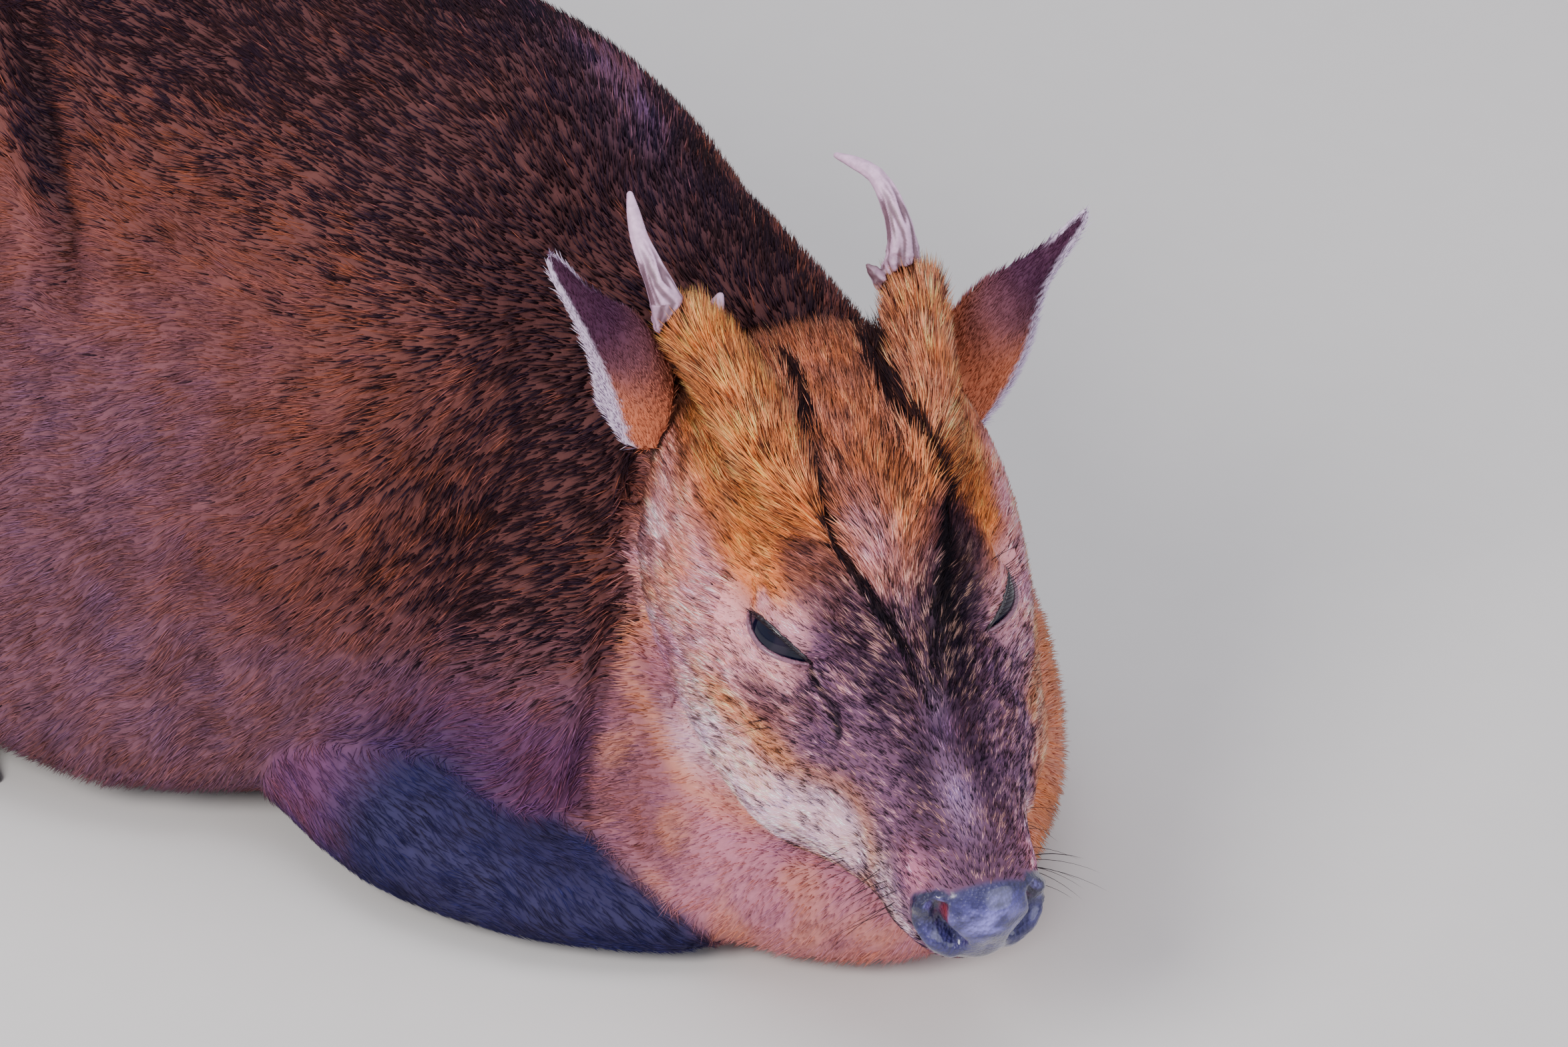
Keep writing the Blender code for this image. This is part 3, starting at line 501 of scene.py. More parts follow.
# Where along the body the throat's painted shade sets in and where it is full.
THROAT_PAINTED_SHADE = (-100.0, -125.0)
THROAT_FOLD = ((-157.0, 8.0, 104.0), (-154.0, 5.0, 85.0), (-153.0, -2.0, 66.0), (-154.0, -9.0, 37.0),
               (-150.0, -6.0, 14.0))
FLANK_FOLD = ((-376.0, -20.0, 206.0), (-329.0, -48.0, 168.0), (-320.0, -56.0, 154.0))


def throat_share(body):
    """1 under the jaw and up to the fold between throat and neck."""
    x, y, z = body.T
    return ramp(z - 0.9 * (x + 125.0), 118.0, 98.0) * ramp(x, -155.0 - 3.0 * ramp(z, 60.0, 45.0), -145.0)


def body_markings(body):
    """Colour of the body's coat at places on the body, with painted shade in its folds and a painted sheen along the
    back.
    """
    x, y, z = body.T
    colour = np.tile(paint("coat_orange"), (len(body), 1))
    colour = mixed(colour, "flank_mauve", 0.85 * ramp(x, -215.0, -285.0) * ramp(z, 185.0, 120.0))
    colour = mixed(colour, "flank_mauve", 0.9 * ramp(z, 100.0, 55.0))
    colour = mixed(colour, "chest", ramp(z, 75.0, 45.0) * ramp(x, -230.0, -190.0))
    # Painted shade where the chest meets the foreleg.
    colour = mixed(colour, "leg_with_sky_sheen_and_shade", 0.7 * blot(body, (-188.0, -36.0, 42.0), (30.0, 24.0, 16.0)))
    # Painted shade in the fold of the flank.
    colour = mixed(colour, "nape_and_fold_shade", 0.85 * flank_fold_shade(body, 9.0))
    # Painted sheen: paler mauve along the upper edge of the back.
    colour = mixed(colour, "ridge", 0.75 * blot(body, (-222.0, 82.0, 203.0), (50.0, 20.0, 26.0)))
    throat = throat_share(body)
    colour = mixed(colour, "throat", throat)
    # Painted shade on the throat: darker and browner towards the neck and higher up its side.
    throat_painted_shade = throat * ramp(x, *THROAT_PAINTED_SHADE) * ramp(z, 20.0, 34.0)
    colour = mixed(colour, "coat_orange", 0.45 * throat_painted_shade)
    colour = mixed(colour, "flank_mauve", 0.3 * throat_painted_shade)
    colour = mixed(colour, "cheek_orange", 0.4 * throat * ramp(z, 26.0, 8.0))
    colour = mixed(colour, "cheek_orange", 0.4 * throat * ramp(cloud(body, 16.0, 2.0), 0.0, 0.6))
    # Painted shade along the fold between throat and neck.
    colour = mixed(colour, "nape_and_fold_shade", 0.45 * ramp(along_path(body, THROAT_FOLD)[0], 5.0, 1.0))
    colour = mixed(colour, "nape_and_fold_shade", 0.7 * ramp(x, -400.0, -480.0) * ramp(z, 90.0, 150.0))
    return mixed(colour, "belly", 0.6 * ramp(z, 40.0, 8.0) * ramp(x, -240.0, -275.0))


def flank_fold_shade(body, wide):
    """1 along the fold of the flank, fading at its ends: where its painted shade goes."""
    away, run = along_path(body, FLANK_FOLD)
    return ramp(away, wide, 2.5) * ramp(run, -0.1, 0.35) * ramp(run, 1.1, 0.75)


def dark_share(body):
    """Share of dark flecks in the body's coat: most on the neck and along the back, more in the flank's fold as painted
    shade, fewer under the painted sheen on the back.
    """
    x, y, z = body.T
    middle = 52.0 + np.clip(x + 280.0, -300.0, 0.0) * 0.27
    aside = np.abs(y - middle)
    share = 0.12 + 0.46 * ramp(x, -275.0, -190.0) * ramp(z, 48.0, 92.0) + 0.60 * ramp(z, 150.0, 205.0)
    share += 0.60 * ramp(aside, 60.0, 24.0) * ramp(z, 105.0, 155.0)
    # More dark flecks in the fold of the flank, as painted shade.
    share += 0.80 * flank_fold_shade(body, 9.0)
    share += 0.32 * blot(body, (-180.0, -2.0, 105.0), (30.0, 28.0, 46.0))
    # Fewer dark flecks under the painted sheen along the back.
    share *= 1 - 0.75 * blot(body, (-222.0, 82.0, 203.0), (50.0, 20.0, 26.0))
    return np.clip(share * (1 - throat_share(body)), 0.0, 0.97)


# Skin

def node_mesh(name):
    """Merged copy of a node's mesh."""
    bm = bmesh.new()
    bm.from_mesh(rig.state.nodes[name].data)
    bmesh.ops.remove_doubles(bm, verts=bm.verts, dist=1e-6)
    return bm


def link(name, mesh):
    made = bpy.data.objects.new(name, mesh)
    bpy.context.scene.collection.objects.link(made)
    return made


def settle(obj):
    """Applies an object's modifiers to its mesh."""
    bpy.context.view_layer.update()
    made = bpy.data.meshes.new_from_object(obj.evaluated_get(bpy.context.evaluated_depsgraph_get()))
    old = obj.data
    obj.modifiers.clear()
    obj.data = made
    bpy.data.meshes.remove(old)
    return obj


def joined(name, nodes, swell=0.4):
    """The nodes' meshes in one object, grown so that they run into each other."""
    mesh = bpy.data.meshes.new(name)
    whole = bmesh.new()
    for node in nodes:
        bm = node_mesh(node)
        bm.normal_update()
        for v in bm.verts:
            v.co += v.normal * swell * MM
        bm.to_mesh(mesh)
        bm.free()
        whole.from_mesh(mesh)
    whole.to_mesh(mesh)
    whole.free()
    return link(name, mesh)


def coordinates(mesh):
    flat = np.empty(len(mesh.vertices) * 3)
    mesh.vertices.foreach_get("co", flat)
    return flat.reshape(-1, 3)


def directions(mesh):
    flat = np.empty(len(mesh.vertices) * 3)
    mesh.vertex_normals.foreach_get("vector", flat)
    return flat.reshape(-1, 3)


def set_coordinates(mesh, points):
    mesh.vertices.foreach_set("co", points.ravel())
    mesh.update()


def set_colour(mesh, name, colours):
    layer = mesh.color_attributes.new(name, "FLOAT_COLOR", "POINT")
    rows = np.ones((len(colours), 4))
    rows[:, :3] = np.clip(colours, 0, 1)
    layer.data.foreach_set("color", rows.ravel())


def set_value(mesh, name, values):
    mesh.attributes.new(name, "FLOAT", "POINT").data.foreach_set("value", values)


def remesh(obj, size, smooth, group=None):
    modifier = obj.modifiers.new("remesh", "REMESH")
    modifier.mode = "VOXEL"
    modifier.voxel_size = size
    if smooth:
        modifier = obj.modifiers.new("smooth", "SMOOTH")
        modifier.factor = 0.5
        modifier.iterations = smooth
    return settle(obj)


def edge_pairs(mesh):
    flat = np.empty(len(mesh.edges) * 2, dtype=np.int64)
    mesh.edges.foreach_get("vertices", flat)
    return flat.reshape(-1, 2)


def spread_out(values, pairs, rounds):
    """Averages values with their neighbours along the mesh's edges."""
    values = values.astype(float)
    count = np.bincount(pairs.ravel(), minlength=len(values)).astype(float) + 1.0
    for _ in range(rounds):
        total = values.copy()
        for k in range(values.shape[1]):
            total[:, k] += np.bincount(pairs[:, 0], values[pairs[:, 1], k], len(values))
            total[:, k] += np.bincount(pairs[:, 1], values[pairs[:, 0], k], len(values))
        values = total / count[:, None]
    return values


def node_weights(mesh, nodes):
    """How much each vertex belongs to head, trunk, limbs and tail."""
    kinds = {"head": 0, "tail": 3}
    points, faces, kind = [], [], []
    for node in nodes:
        bm = node_mesh(node)
        start = len(points)
        points += [v.co.copy() for v in bm.verts]
        faces += [[start + v.index for v in f.verts] for f in bm.faces]
        label = kinds.get(node, 1 if node in ("neck", "torso") else 2)
        kind += [label] * len(bm.faces)
        bm.free()
    tree = BVHTree.FromPolygons(points, faces)
    found = [kind[tree.find_nearest(Vector(p))[2]] for p in coordinates(mesh).tolist()]
    weights = np.eye(4)[found]
    return spread_out(weights, edge_pairs(mesh), 6)


def coat_depth(head, body, part):
    """How far the coat stands out over the skin, in millimetres."""
    x, y, z = head.T
    folded = fold_over(head)
    face = 0.5 + 1.1 * ramp(x, -30.0, -110.0)
    face += 1.6 * ramp(along_line(folded, PEDICLE_ROOT, PEDICLE_TIP)[0], 22.0, 13.0)
    eye = ramp(np.linalg.norm(folded - EYE_PLACE, axis=1), 15.0, 24.0)
    face = face * (0.35 + 0.65 * eye) * (1 - bare_nose(head))
    return part @ np.array([0.0, 2.6, 1.0, 1.6]) + part[:, 0] * face


def shape_face(head, part):
    """Moves of the head's skin, in its own frame, that sharpen its folds."""
    folded = fold_over(head)
    moves = np.zeros_like(head)
    sign = np.sign(head[:, 1])

    def push(amount, way):
        way = np.asarray(way, float) / np.linalg.norm(way)
        step = amount[:, None] * way
        step[:, 1] *= sign
        moves[:] += step

    out, up = (0.1, 0.8, 0.5), (0.0, 0.3, 1.0)
    tear = along_path(folded, TEAR_LINE)[0]
    push(-1.5 * ramp(tear, 2.4, 0.0), out)
    push(0.8 * ramp(np.abs(tear - 4.2), 3.0, 0.0), out)
    push(1.6 * blot(folded, (-88.0, 36.0, -19.5), (10.0, 6.0, 4.5)), (0.1, 0.8, 0.3))
    push(-1.2 * blot(folded, (-90.0, 38.0, -28.0), (13.0, 8.0, 3.0)), (0.1, 0.8, 0.3))
    push(1.6 * blot(folded, (-96.0, 33.0, 0.0), (12.0, 4.5, 4.0)), (0.0, 0.5, 0.8))
    push(-2.0 * blot(folded, (-76.0, 18.0, 3.0), (15.0, 6.0, 8.0)), up)
    push(-1.0 * blot(folded, (-44.0, 20.0, -5.0), (16.0, 6.0, 8.0)), out)
    push(1.1 * stripe_valley(head, 7.0), (0.0, 0.0, 1.0))
    push(-1.6 * stripe_valley(head, 2.6), (0.0, 0.0, 1.0))
    band, run = along_path(folded, JAW_BAND)
    push(2.2 * ramp(band, 11.0, 2.0) * ramp(run, 0.0, 0.4), (0.2, 0.9, 0.0))
    push(-2.0 * blot(folded, (-31.0, 26.0, -27.0), (3.5, 5.0, 5.5)), (0.3, 0.9, 0.0))
    push(-1.0 * ramp(along_path(folded, MOUTH)[0], 2.2, 0.4), (0.3, 0.9, 0.0))
    push(1.8 * ramp(along_path(folded, NOSTRIL_RIM)[0], 3.2, 0.8), (0.45, 0.85, 0.1))
    push(-4.2 * ramp(along_path(folded, NOSTRIL_SLIT)[0], 3.8, 1.4), (0.9, 0.35, 0.1))
    push(1.3 * blot(folded, (6.5, 0.0, -7.0), (7.0, 7.5, 9.0)), (1.0, 0.0, 0.4))
    push(-0.9 * ramp(along_line(folded, (8.0, 0.0, -16.0), (6.0, 0.0, -27.0))[0], 2.0, 0.0), (1, 0, 0))
    return moves * part[:, :1]


def lid_frame(sign):
    """Centre of an eye, its line from corner to corner, the way it looks and the way up."""
    centre = on_side(EYE_PLACE, sign)
    inner, outer = on_side(INNER_CANTHUS, sign), on_side(OUTER_CANTHUS, sign)
    along = (outer - inner) / np.linalg.norm(outer - inner)
    look = (inner + outer) / 2 - centre
    look = look - along * (look @ along)
    look = look / np.linalg.norm(look)
    rise = np.cross(along, look)
    rise = rise if rise[2] > 0 else -rise
    return centre, inner, outer, along, look, rise


def lid_height(f, upper):
    """How far the edge of a lid stands from the line between the corners of the eye."""
    bow = np.sin(pi * np.clip(f, 0.0, 1.0))
    return bow ** 0.6 * UPPER_LID if upper else -bow ** 1.2 * LOWER_LID


def on_lid(sign, f, upper, proud):
    """Place under the edge of a lid, a little proud of the eyeball."""
    centre, inner, outer, along, look, rise = lid_frame(sign)
    flat = inner + (outer - inner) * f + rise * float(lid_height(f, upper)) - centre
    deep = flat @ look
    reach = deep ** 2 - flat @ flat + (EYE_RADIUS + proud) ** 2
    return centre + flat + look * (max(reach, 0.0) ** 0.5 - deep)


def set_lids(points, sign):
    """Lays the skin around an eye on its ball, and sinks it where the eye is open."""
    centre, inner, outer, along, look, rise = lid_frame(sign)
    out = in_head(points) - centre
    far = np.linalg.norm(out, axis=1)
    ways = out / np.maximum(far, 1e-6)[:, None]
    on_ball = centre + ways * EYE_RADIUS - inner
    f = on_ball @ along / np.linalg.norm(outer - inner)
    height = on_ball @ rise
    past = np.maximum(height - lid_height(f, True), lid_height(f, False) - height)
    past = np.maximum(past, np.maximum(-f, f - 1.0) * np.linalg.norm(outer - inner))
    near = (far < EYE_RADIUS + 9.0) & (ways @ look > 0.1)
    lid = EYE_RADIUS + LID_DEPTH
    wanted = lid + (far - lid) * ramp(past, 1.2, 8.0)
    wanted = np.where(past < 0.0, EYE_RADIUS - 1.2, np.maximum(wanted, lid))
    wanted = np.where(near, wanted, far)
    moved = (centre + ways * wanted[:, None]) @ FROM_HEAD[:3, :3].T + FROM_HEAD[:3, 3]
    return np.where(near[:, None], moved, points)


def stripe_valley(head, wide):
    """1 along the stripes, fading over a width."""
    found = np.zeros(len(head))
    for side, sign in SIDES:
        away = along_path(np.stack([head[:, 0], head[:, 1] * sign], axis=1), STRIPES[side])[0]
        found = np.maximum(found, ramp(away, wide, 0.0))
    return found * ramp(head[:, 2], -16.0, -8.0)


def shape_body(body, part):
    """Moves of the trunk's skin: folds of the flank, behind the elbow and of the neck."""
    moves = np.zeros_like(body)
    out = np.array([0.35, -0.85, 0.35])
    for path, wide, deep in ((FLANK_FOLD, 12.0, 5.0),
                             (((-292.0, -24.0, 188.0), (-298.0, -48.0, 158.0)), 9.0, 1.6),
                             (((-262.0, -52.0, 92.0), (-256.0, -66.0, 34.0)), 14.0, 4.0),
                             (THROAT_FOLD, 7.0, 2.8)):
        crease, _ = along_path(body, path)
        moves -= (deep * ramp(crease, wide, 0.0))[:, None] * out
        moves += (0.45 * deep * ramp(np.abs(crease - wide * 1.15), wide * 0.8, 0.0))[:, None] * out
    return moves * part[:, 1:2]


class Skin:
    """The finished skin, read once for everything that grows on it."""

    def __init__(self, obj):
        mesh = obj.data
        mesh.calc_loop_triangles()
        self.points = coordinates(mesh)
        self.normals = directions(mesh)
        count = len(mesh.loop_triangles)
        corners = np.empty(count * 3, dtype=np.int64)
        mesh.loop_triangles.foreach_get("vertices", corners)
        self.corners = corners.reshape(-1, 3)
        loops = np.empty(count * 3, dtype=np.int64)
        mesh.loop_triangles.foreach_get("loops", loops)
        chart = np.empty(len(mesh.loops) * 2)
        mesh.uv_layers["SkinMap"].uv.foreach_get("vector", chart)
        self.chart = chart.reshape(-1, 2)[loops.reshape(-1, 3)]
        a, b, c = (self.points[self.corners[:, k]] for k in range(3))
        self.area = np.linalg.norm(np.cross(b - a, c - a), axis=1) / 2

    def scatter(self, weight, spacing, seed):
        """Roots spread over the skin: triangle, place, normal and place on the unwrap."""
        share = self.area * weight[self.corners].mean(axis=1)
        number = int(share.sum() / (spacing * MM) ** 2)
        draw = np.random.default_rng(seed)
        chosen = draw.choice(len(share), number, p=share / share.sum())
        r = np.sqrt(draw.random(number))
        s = draw.random(number)
        bary = np.stack([1 - r, r * (1 - s), r * s], axis=1)

        def blend(values):
            return (values * bary[:, :, None]).sum(axis=1)

        corner = self.corners[chosen]
        place = blend(self.points[corner])
        normal = unit(blend(self.normals[corner]))
        return corner, bary, place, normal, blend(self.chart[chosen])


def tufts(name, roots, normals, chart, ways, length, width, lift, root_tone, tip_tone, floor=0.0):
    """One mesh of solid tufts, each a three-sided spike lying along its way."""
    count = len(roots)
    across = unit(np.cross(normals, ways))
    reach = ways * np.cos(lift)[:, None] + normals * np.sin(lift)[:, None]
    half = across * (width / 2)[:, None]
    foot = roots - normals * (width * 0.5)[:, None]
    top = roots + normals * (width * 0.35)[:, None]
    tip = roots + reach * length[:, None]
    points = np.stack([foot - half, foot + half, top, tip], axis=1).reshape(-1, 3)
    points[:, 2] = np.maximum(points[:, 2], floor + 0.0002)
    faces = np.array([[0, 3, 2], [1, 2, 3], [0, 1, 3], [0, 2, 1]])
    corners = (faces[None] + 4 * np.arange(count)[:, None, None]).reshape(-1)
    mesh = bpy.data.meshes.new(name)
    mesh.vertices.add(count * 4)
    mesh.vertices.foreach_set("co", points.ravel())
    mesh.loops.add(len(corners))
    mesh.loops.foreach_set("vertex_index", corners.astype(np.int32))
    mesh.polygons.add(count * 4)
    mesh.polygons.foreach_set("loop_start", np.arange(0, count * 12, 3, dtype=np.int32))
    mesh.update(calc_edges=True)
    shades = np.stack([root_tone, root_tone, root_tone, tip_tone], axis=1).reshape(-1, 3)
    set_colour(mesh, "tone", shades)
    patch = np.array([[-0.0012, -0.0012], [0.0012, -0.0012], [0.0, -0.0006], [0.0, 0.0015]])
    spots = (chart[:, None, :] + patch[None]).reshape(-1, 2)[corners]
    mesh.uv_layers.new(name="OFBake").uv.foreach_set("vector", spots.ravel())
    return link(name, mesh)


# Materials

def shader(name, roughness, **inputs):
    made = bpy.data.materials.new(name)
    made.use_nodes = True
    principled = made.node_tree.nodes["Principled BSDF"]
    principled.inputs["Roughness"].default_value = roughness
    for key, value in inputs.items():
        principled.inputs[key.replace("_", " ")].default_value = value
    return made, principled


def node(material, kind, **settings):
    made = material.node_tree.nodes.new("ShaderNode" + kind)
    for key, value in settings.items():
        if key in made.inputs:
            made.inputs[key].default_value = value
        else:
            setattr(made, key, value)
    return made


def wire(material, start, end):
    material.node_tree.links.new(start, end)


def rough_surface(material, principled, scale, strength, distance, detail=4.0):
    """Fine bump on Object coordinates."""
    place = node(material, "TexCoord")
    grain = node(material, "TexNoise", Scale=scale, Detail=detail)
    wire(material, place.outputs["Object"], grain.inputs["Vector"])
    bump = node(material, "Bump", Strength=strength, Distance=distance)
    wire(material, grain.outputs["Fac"], bump.inputs["Height"])
    wire(material, bump.outputs["Normal"], principled.inputs["Normal"])
    return place, grain, bump


def coat_material():
    """Hair: colour from each tuft's own tone, a soft shine along it."""
    made, principled = shader("coat_hair", 0.6, Specular_IOR_Level=0.1)
    tone = node(made, "VertexColor", layer_name="tone")
    wire(made, tone.outputs["Color"], principled.inputs["Base Color"])
    rough_surface(made, principled, 900.0, 0.25, 0.0003)
    return made


def skin_material():
    """Coat skin with fine hair grain, passing into the wet pitted leather of the nose pad."""
    made, principled = shader("hide", 0.7, Specular_IOR_Level=0.2)
    tone = node(made, "VertexColor", layer_name="tone")
    place, grain, bump = rough_surface(made, principled, 700.0, 0.5, 0.0006)
    speck = node(made, "TexNoise", Scale=420.0, Detail=3.0)
    wire(made, place.outputs["Object"], speck.inputs["Vector"])
    shade = node(made, "MapRange")
    shade.inputs["To Min"].default_value = 0.7
    shade.inputs["To Max"].default_value = 1.15
    wire(made, speck.outputs["Fac"], shade.inputs["Value"])
    scale = node(made, "VectorMath", operation="SCALE")
    wire(made, tone.outputs["Color"], scale.inputs[0])
    wire(made, shade.outputs["Result"], scale.inputs["Scale"])
    wire(made, scale.outputs["Vector"], principled.inputs["Base Color"])
    wet = node(made, "Attribute", attribute_name="wet")
    gloss = node(made, "MapRange")
    gloss.inputs["To Min"].default_value = 0.72
    gloss.inputs["To Max"].default_value = 0.3
    wire(made, wet.outputs["Fac"], gloss.inputs["Value"])
    wire(made, gloss.outputs["Result"], principled.inputs["Roughness"])
    shine = node(made, "MapRange")
    shine.inputs["To Max"].default_value = 1.0
    wire(made, wet.outputs["Fac"], shine.inputs["Value"])
    wire(made, shine.outputs["Result"], principled.inputs["Coat Weight"])
    principled.inputs["Coat Roughness"].default_value = 0.16
    pits = node(made, "TexVoronoi", Scale=850.0)
    wire(made, place.outputs["Object"], pits.inputs["Vector"])
    leather = node(made, "Bump", Distance=0.0008)
    wire(made, pits.outputs["Distance"], leather.inputs["Height"])
    wire(made, wet.outputs["Fac"], leather.inputs["Strength"])
    wire(made, bump.outputs["Normal"], leather.inputs["Normal"])
    wire(made, leather.outputs["Normal"], principled.inputs["Normal"])
    return made


def eye_material():
    made, principled = shader("eye", 0.05, IOR=1.38)
    tone = node(made, "VertexColor", layer_name="tone")
    wire(made, tone.outputs["Color"], principled.inputs["Base Color"])
    return made


def antler_material():
    made, principled = shader("antler", 0.45, Specular_IOR_Level=0.45)
    tone = node(made, "VertexColor", layer_name="tone")
    place, grain, bump = rough_surface(made, principled, 500.0, 0.4, 0.0004)
    pores = node(made, "MapRange")
    pores.inputs["From Min"].default_value = 0.35
    pores.inputs["From Max"].default_value = 0.65
    pores.inputs["To Min"].default_value = 0.8
    pores.inputs["To Max"].default_value = 1.08
    wire(made, grain.outputs["Fac"], pores.inputs["Value"])
    scale = node(made, "VectorMath", operation="SCALE")
    wire(made, tone.outputs["Color"], scale.inputs[0])
    wire(made, pores.outputs["Result"], scale.inputs["Scale"])
    wire(made, scale.outputs["Vector"], principled.inputs["Base Color"])
    return made


def hoof_material():
    made, principled = shader("hoof_horn", 0.38, Specular_IOR_Level=0.5)
    place, grain, bump = rough_surface(made, principled, 300.0, 0.35, 0.0005)
    tint = node(made, "ValToRGB")
    tint.color_ramp.elements[0].color = (0.010, 0.009, 0.010, 1)
    tint.color_ramp.elements[1].color = (0.045, 0.036, 0.032, 1)
    wire(made, grain.outputs["Fac"], tint.inputs["Fac"])
    wire(made, tint.outputs["Color"], principled.inputs["Base Color"])
    return made


def floor_material(colour):
    made, principled = shader("pale_floor", 0.85, Specular_IOR_Level=0.2)
    place, grain, bump = rough_surface(made, principled, 60.0, 0.05, 0.001)
    tint = node(made, "ValToRGB")
    tint.color_ramp.elements[0].color = (*[c * 0.96 for c in colour], 1)
    tint.color_ramp.elements[1].color = (*colour, 1)
    wire(made, grain.outputs["Fac"], tint.inputs["Fac"])
    wire(made, tint.outputs["Color"], principled.inputs["Base Color"])
    return made


def ready(obj, material, slot, *nodes):
    """Finishes a piece: its material, body, slot and the nodes that it stands for."""
    obj.data.materials.clear()
    obj.data.materials.append(material)
    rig.ride(obj, "root")
    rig.slot(obj, slot)
    if nodes:
        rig.replaces(obj, *nodes)


# Which way the coat lies

def lie(points, normals, part):
    """Direction of the hair along the skin at each place."""
    head, body = in_head(points), in_body(points)
    side = np.sign(head[:, 1]) * ramp(np.abs(head[:, 1]), 0.0, 12.0)
    on_face = np.stack([-np.ones(len(head)), 0.75 * side * ramp(head[:, 0], -150.0, -110.0),
                        -0.35 * ramp(head[:, 2], 0.0, -30.0)], axis=1)
    face = head_way(on_face)
    trunk = np.stack([-np.ones(len(body)), np.zeros(len(body)),
                      -0.15 - 0.5 * ramp(body[:, 2], 200.0, 120.0)], axis=1)
    front = ramp(body[:, 0], -300.0, -260.0)
    limb = np.stack([2 * front - 1, np.zeros(len(body)), np.full(len(body), -0.25)], axis=1)
    tail = np.tile([-0.5, -0.1, -0.85], (len(body), 1))
    ways = part[:, :1] * face + part[:, 1:2] * trunk + part[:, 2:3] * limb + part[:, 3:4] * tail
    ways = ways - normals * (ways * normals).sum(axis=1)[:, None]
    return unit(ways)


def streaks(head):
    """Light and dark strands of the face's coat, drawn out along the way that it lies."""
    x, y, z = head.T
    swept = np.stack([0.17 * (0.6 * y * np.sign(y) - 0.8 * x), 0.8 * np.abs(y) + 0.6 * x,
                      0.5 * z + 40.0 * np.sign(y)], axis=1)
    straight = np.stack([0.17 * x, y, 0.5 * z], axis=1)
    back = ramp(x, -110.0, -130.0)
    return cloud(swept, 1.05, 4.0) * (1 - back) + cloud(straight, 1.25, 8.0) * back


def swirled(ways, normals, angle):
    """Ways turned about the skin's normal by an angle each."""
    across = np.cross(normals, ways)
    return ways * np.cos(angle)[:, None] + across * np.sin(angle)[:, None]


# Settings

def size(name, text, value, low, high):
    return FloatProperty(name=name, description=text, default=value, min=low, max=high)


class CoatSettings(bpy.types.PropertyGroup):
    body_length: size("Body hair", "Length of the hair on the trunk in millimetres", 6.4, 2.0, 20.0)
    face_length: size("Face hair", "Length of the hair on the face in millimetres", 3.4, 1.0, 10.0)
    crown_length: size("Crown hair", "Length of the hair on the pedicles in millimetres", 9.0, 2.0, 20.0)
    limb_length: size("Leg hair", "Length of the hair on the legs in millimetres", 5.0, 1.0, 12.0)
    tail_length: size("Tail hair", "Length of the hair on the tail in millimetres", 13.0, 2.0, 30.0)
    body_spacing: size("Body spacing", "Mean room of a body tuft in millimetres", 1.32, 0.8, 6.0)
    face_spacing: size("Face spacing", "Mean room of a face tuft in millimetres", 0.73, 0.5, 4.0)
    fleck_size: size("Fleck", "Size of the coat's dark flecks in millimetres", 2.3, 1.0, 12.0)
    seed: IntProperty(name="Seed", description="Number that fixes the scatter", default=7, min=0)


class SkinSettings(bpy.types.PropertyGroup):
    voxel: size("Grain", "Fineness of the skin's mesh in millimetres", 1.25, 1.0, 6.0)
    faces: IntProperty(name="Faces", description="Most triangles of the skin", default=185000, min=20000)


class StageSettings(bpy.types.PropertyGroup):
    floor_colour: FloatVectorProperty(name="Floor", description="Colour of the studio floor",
                                      subtype="COLOR", default=(0.62, 0.60, 0.58), min=0, max=1)
    key_power: FloatProperty(name="Key", description="Power of the large soft light",
                             default=32.0, min=0, unit="POWER")
    top_power: FloatProperty(name="Top", description="Power of the wide light overhead",
                             default=19.0, min=0, unit="POWER")
    fill_power: FloatProperty(name="Fill", description="Power of the low soft light",
                              default=14.0, min=0, unit="POWER")


PIECES = {}


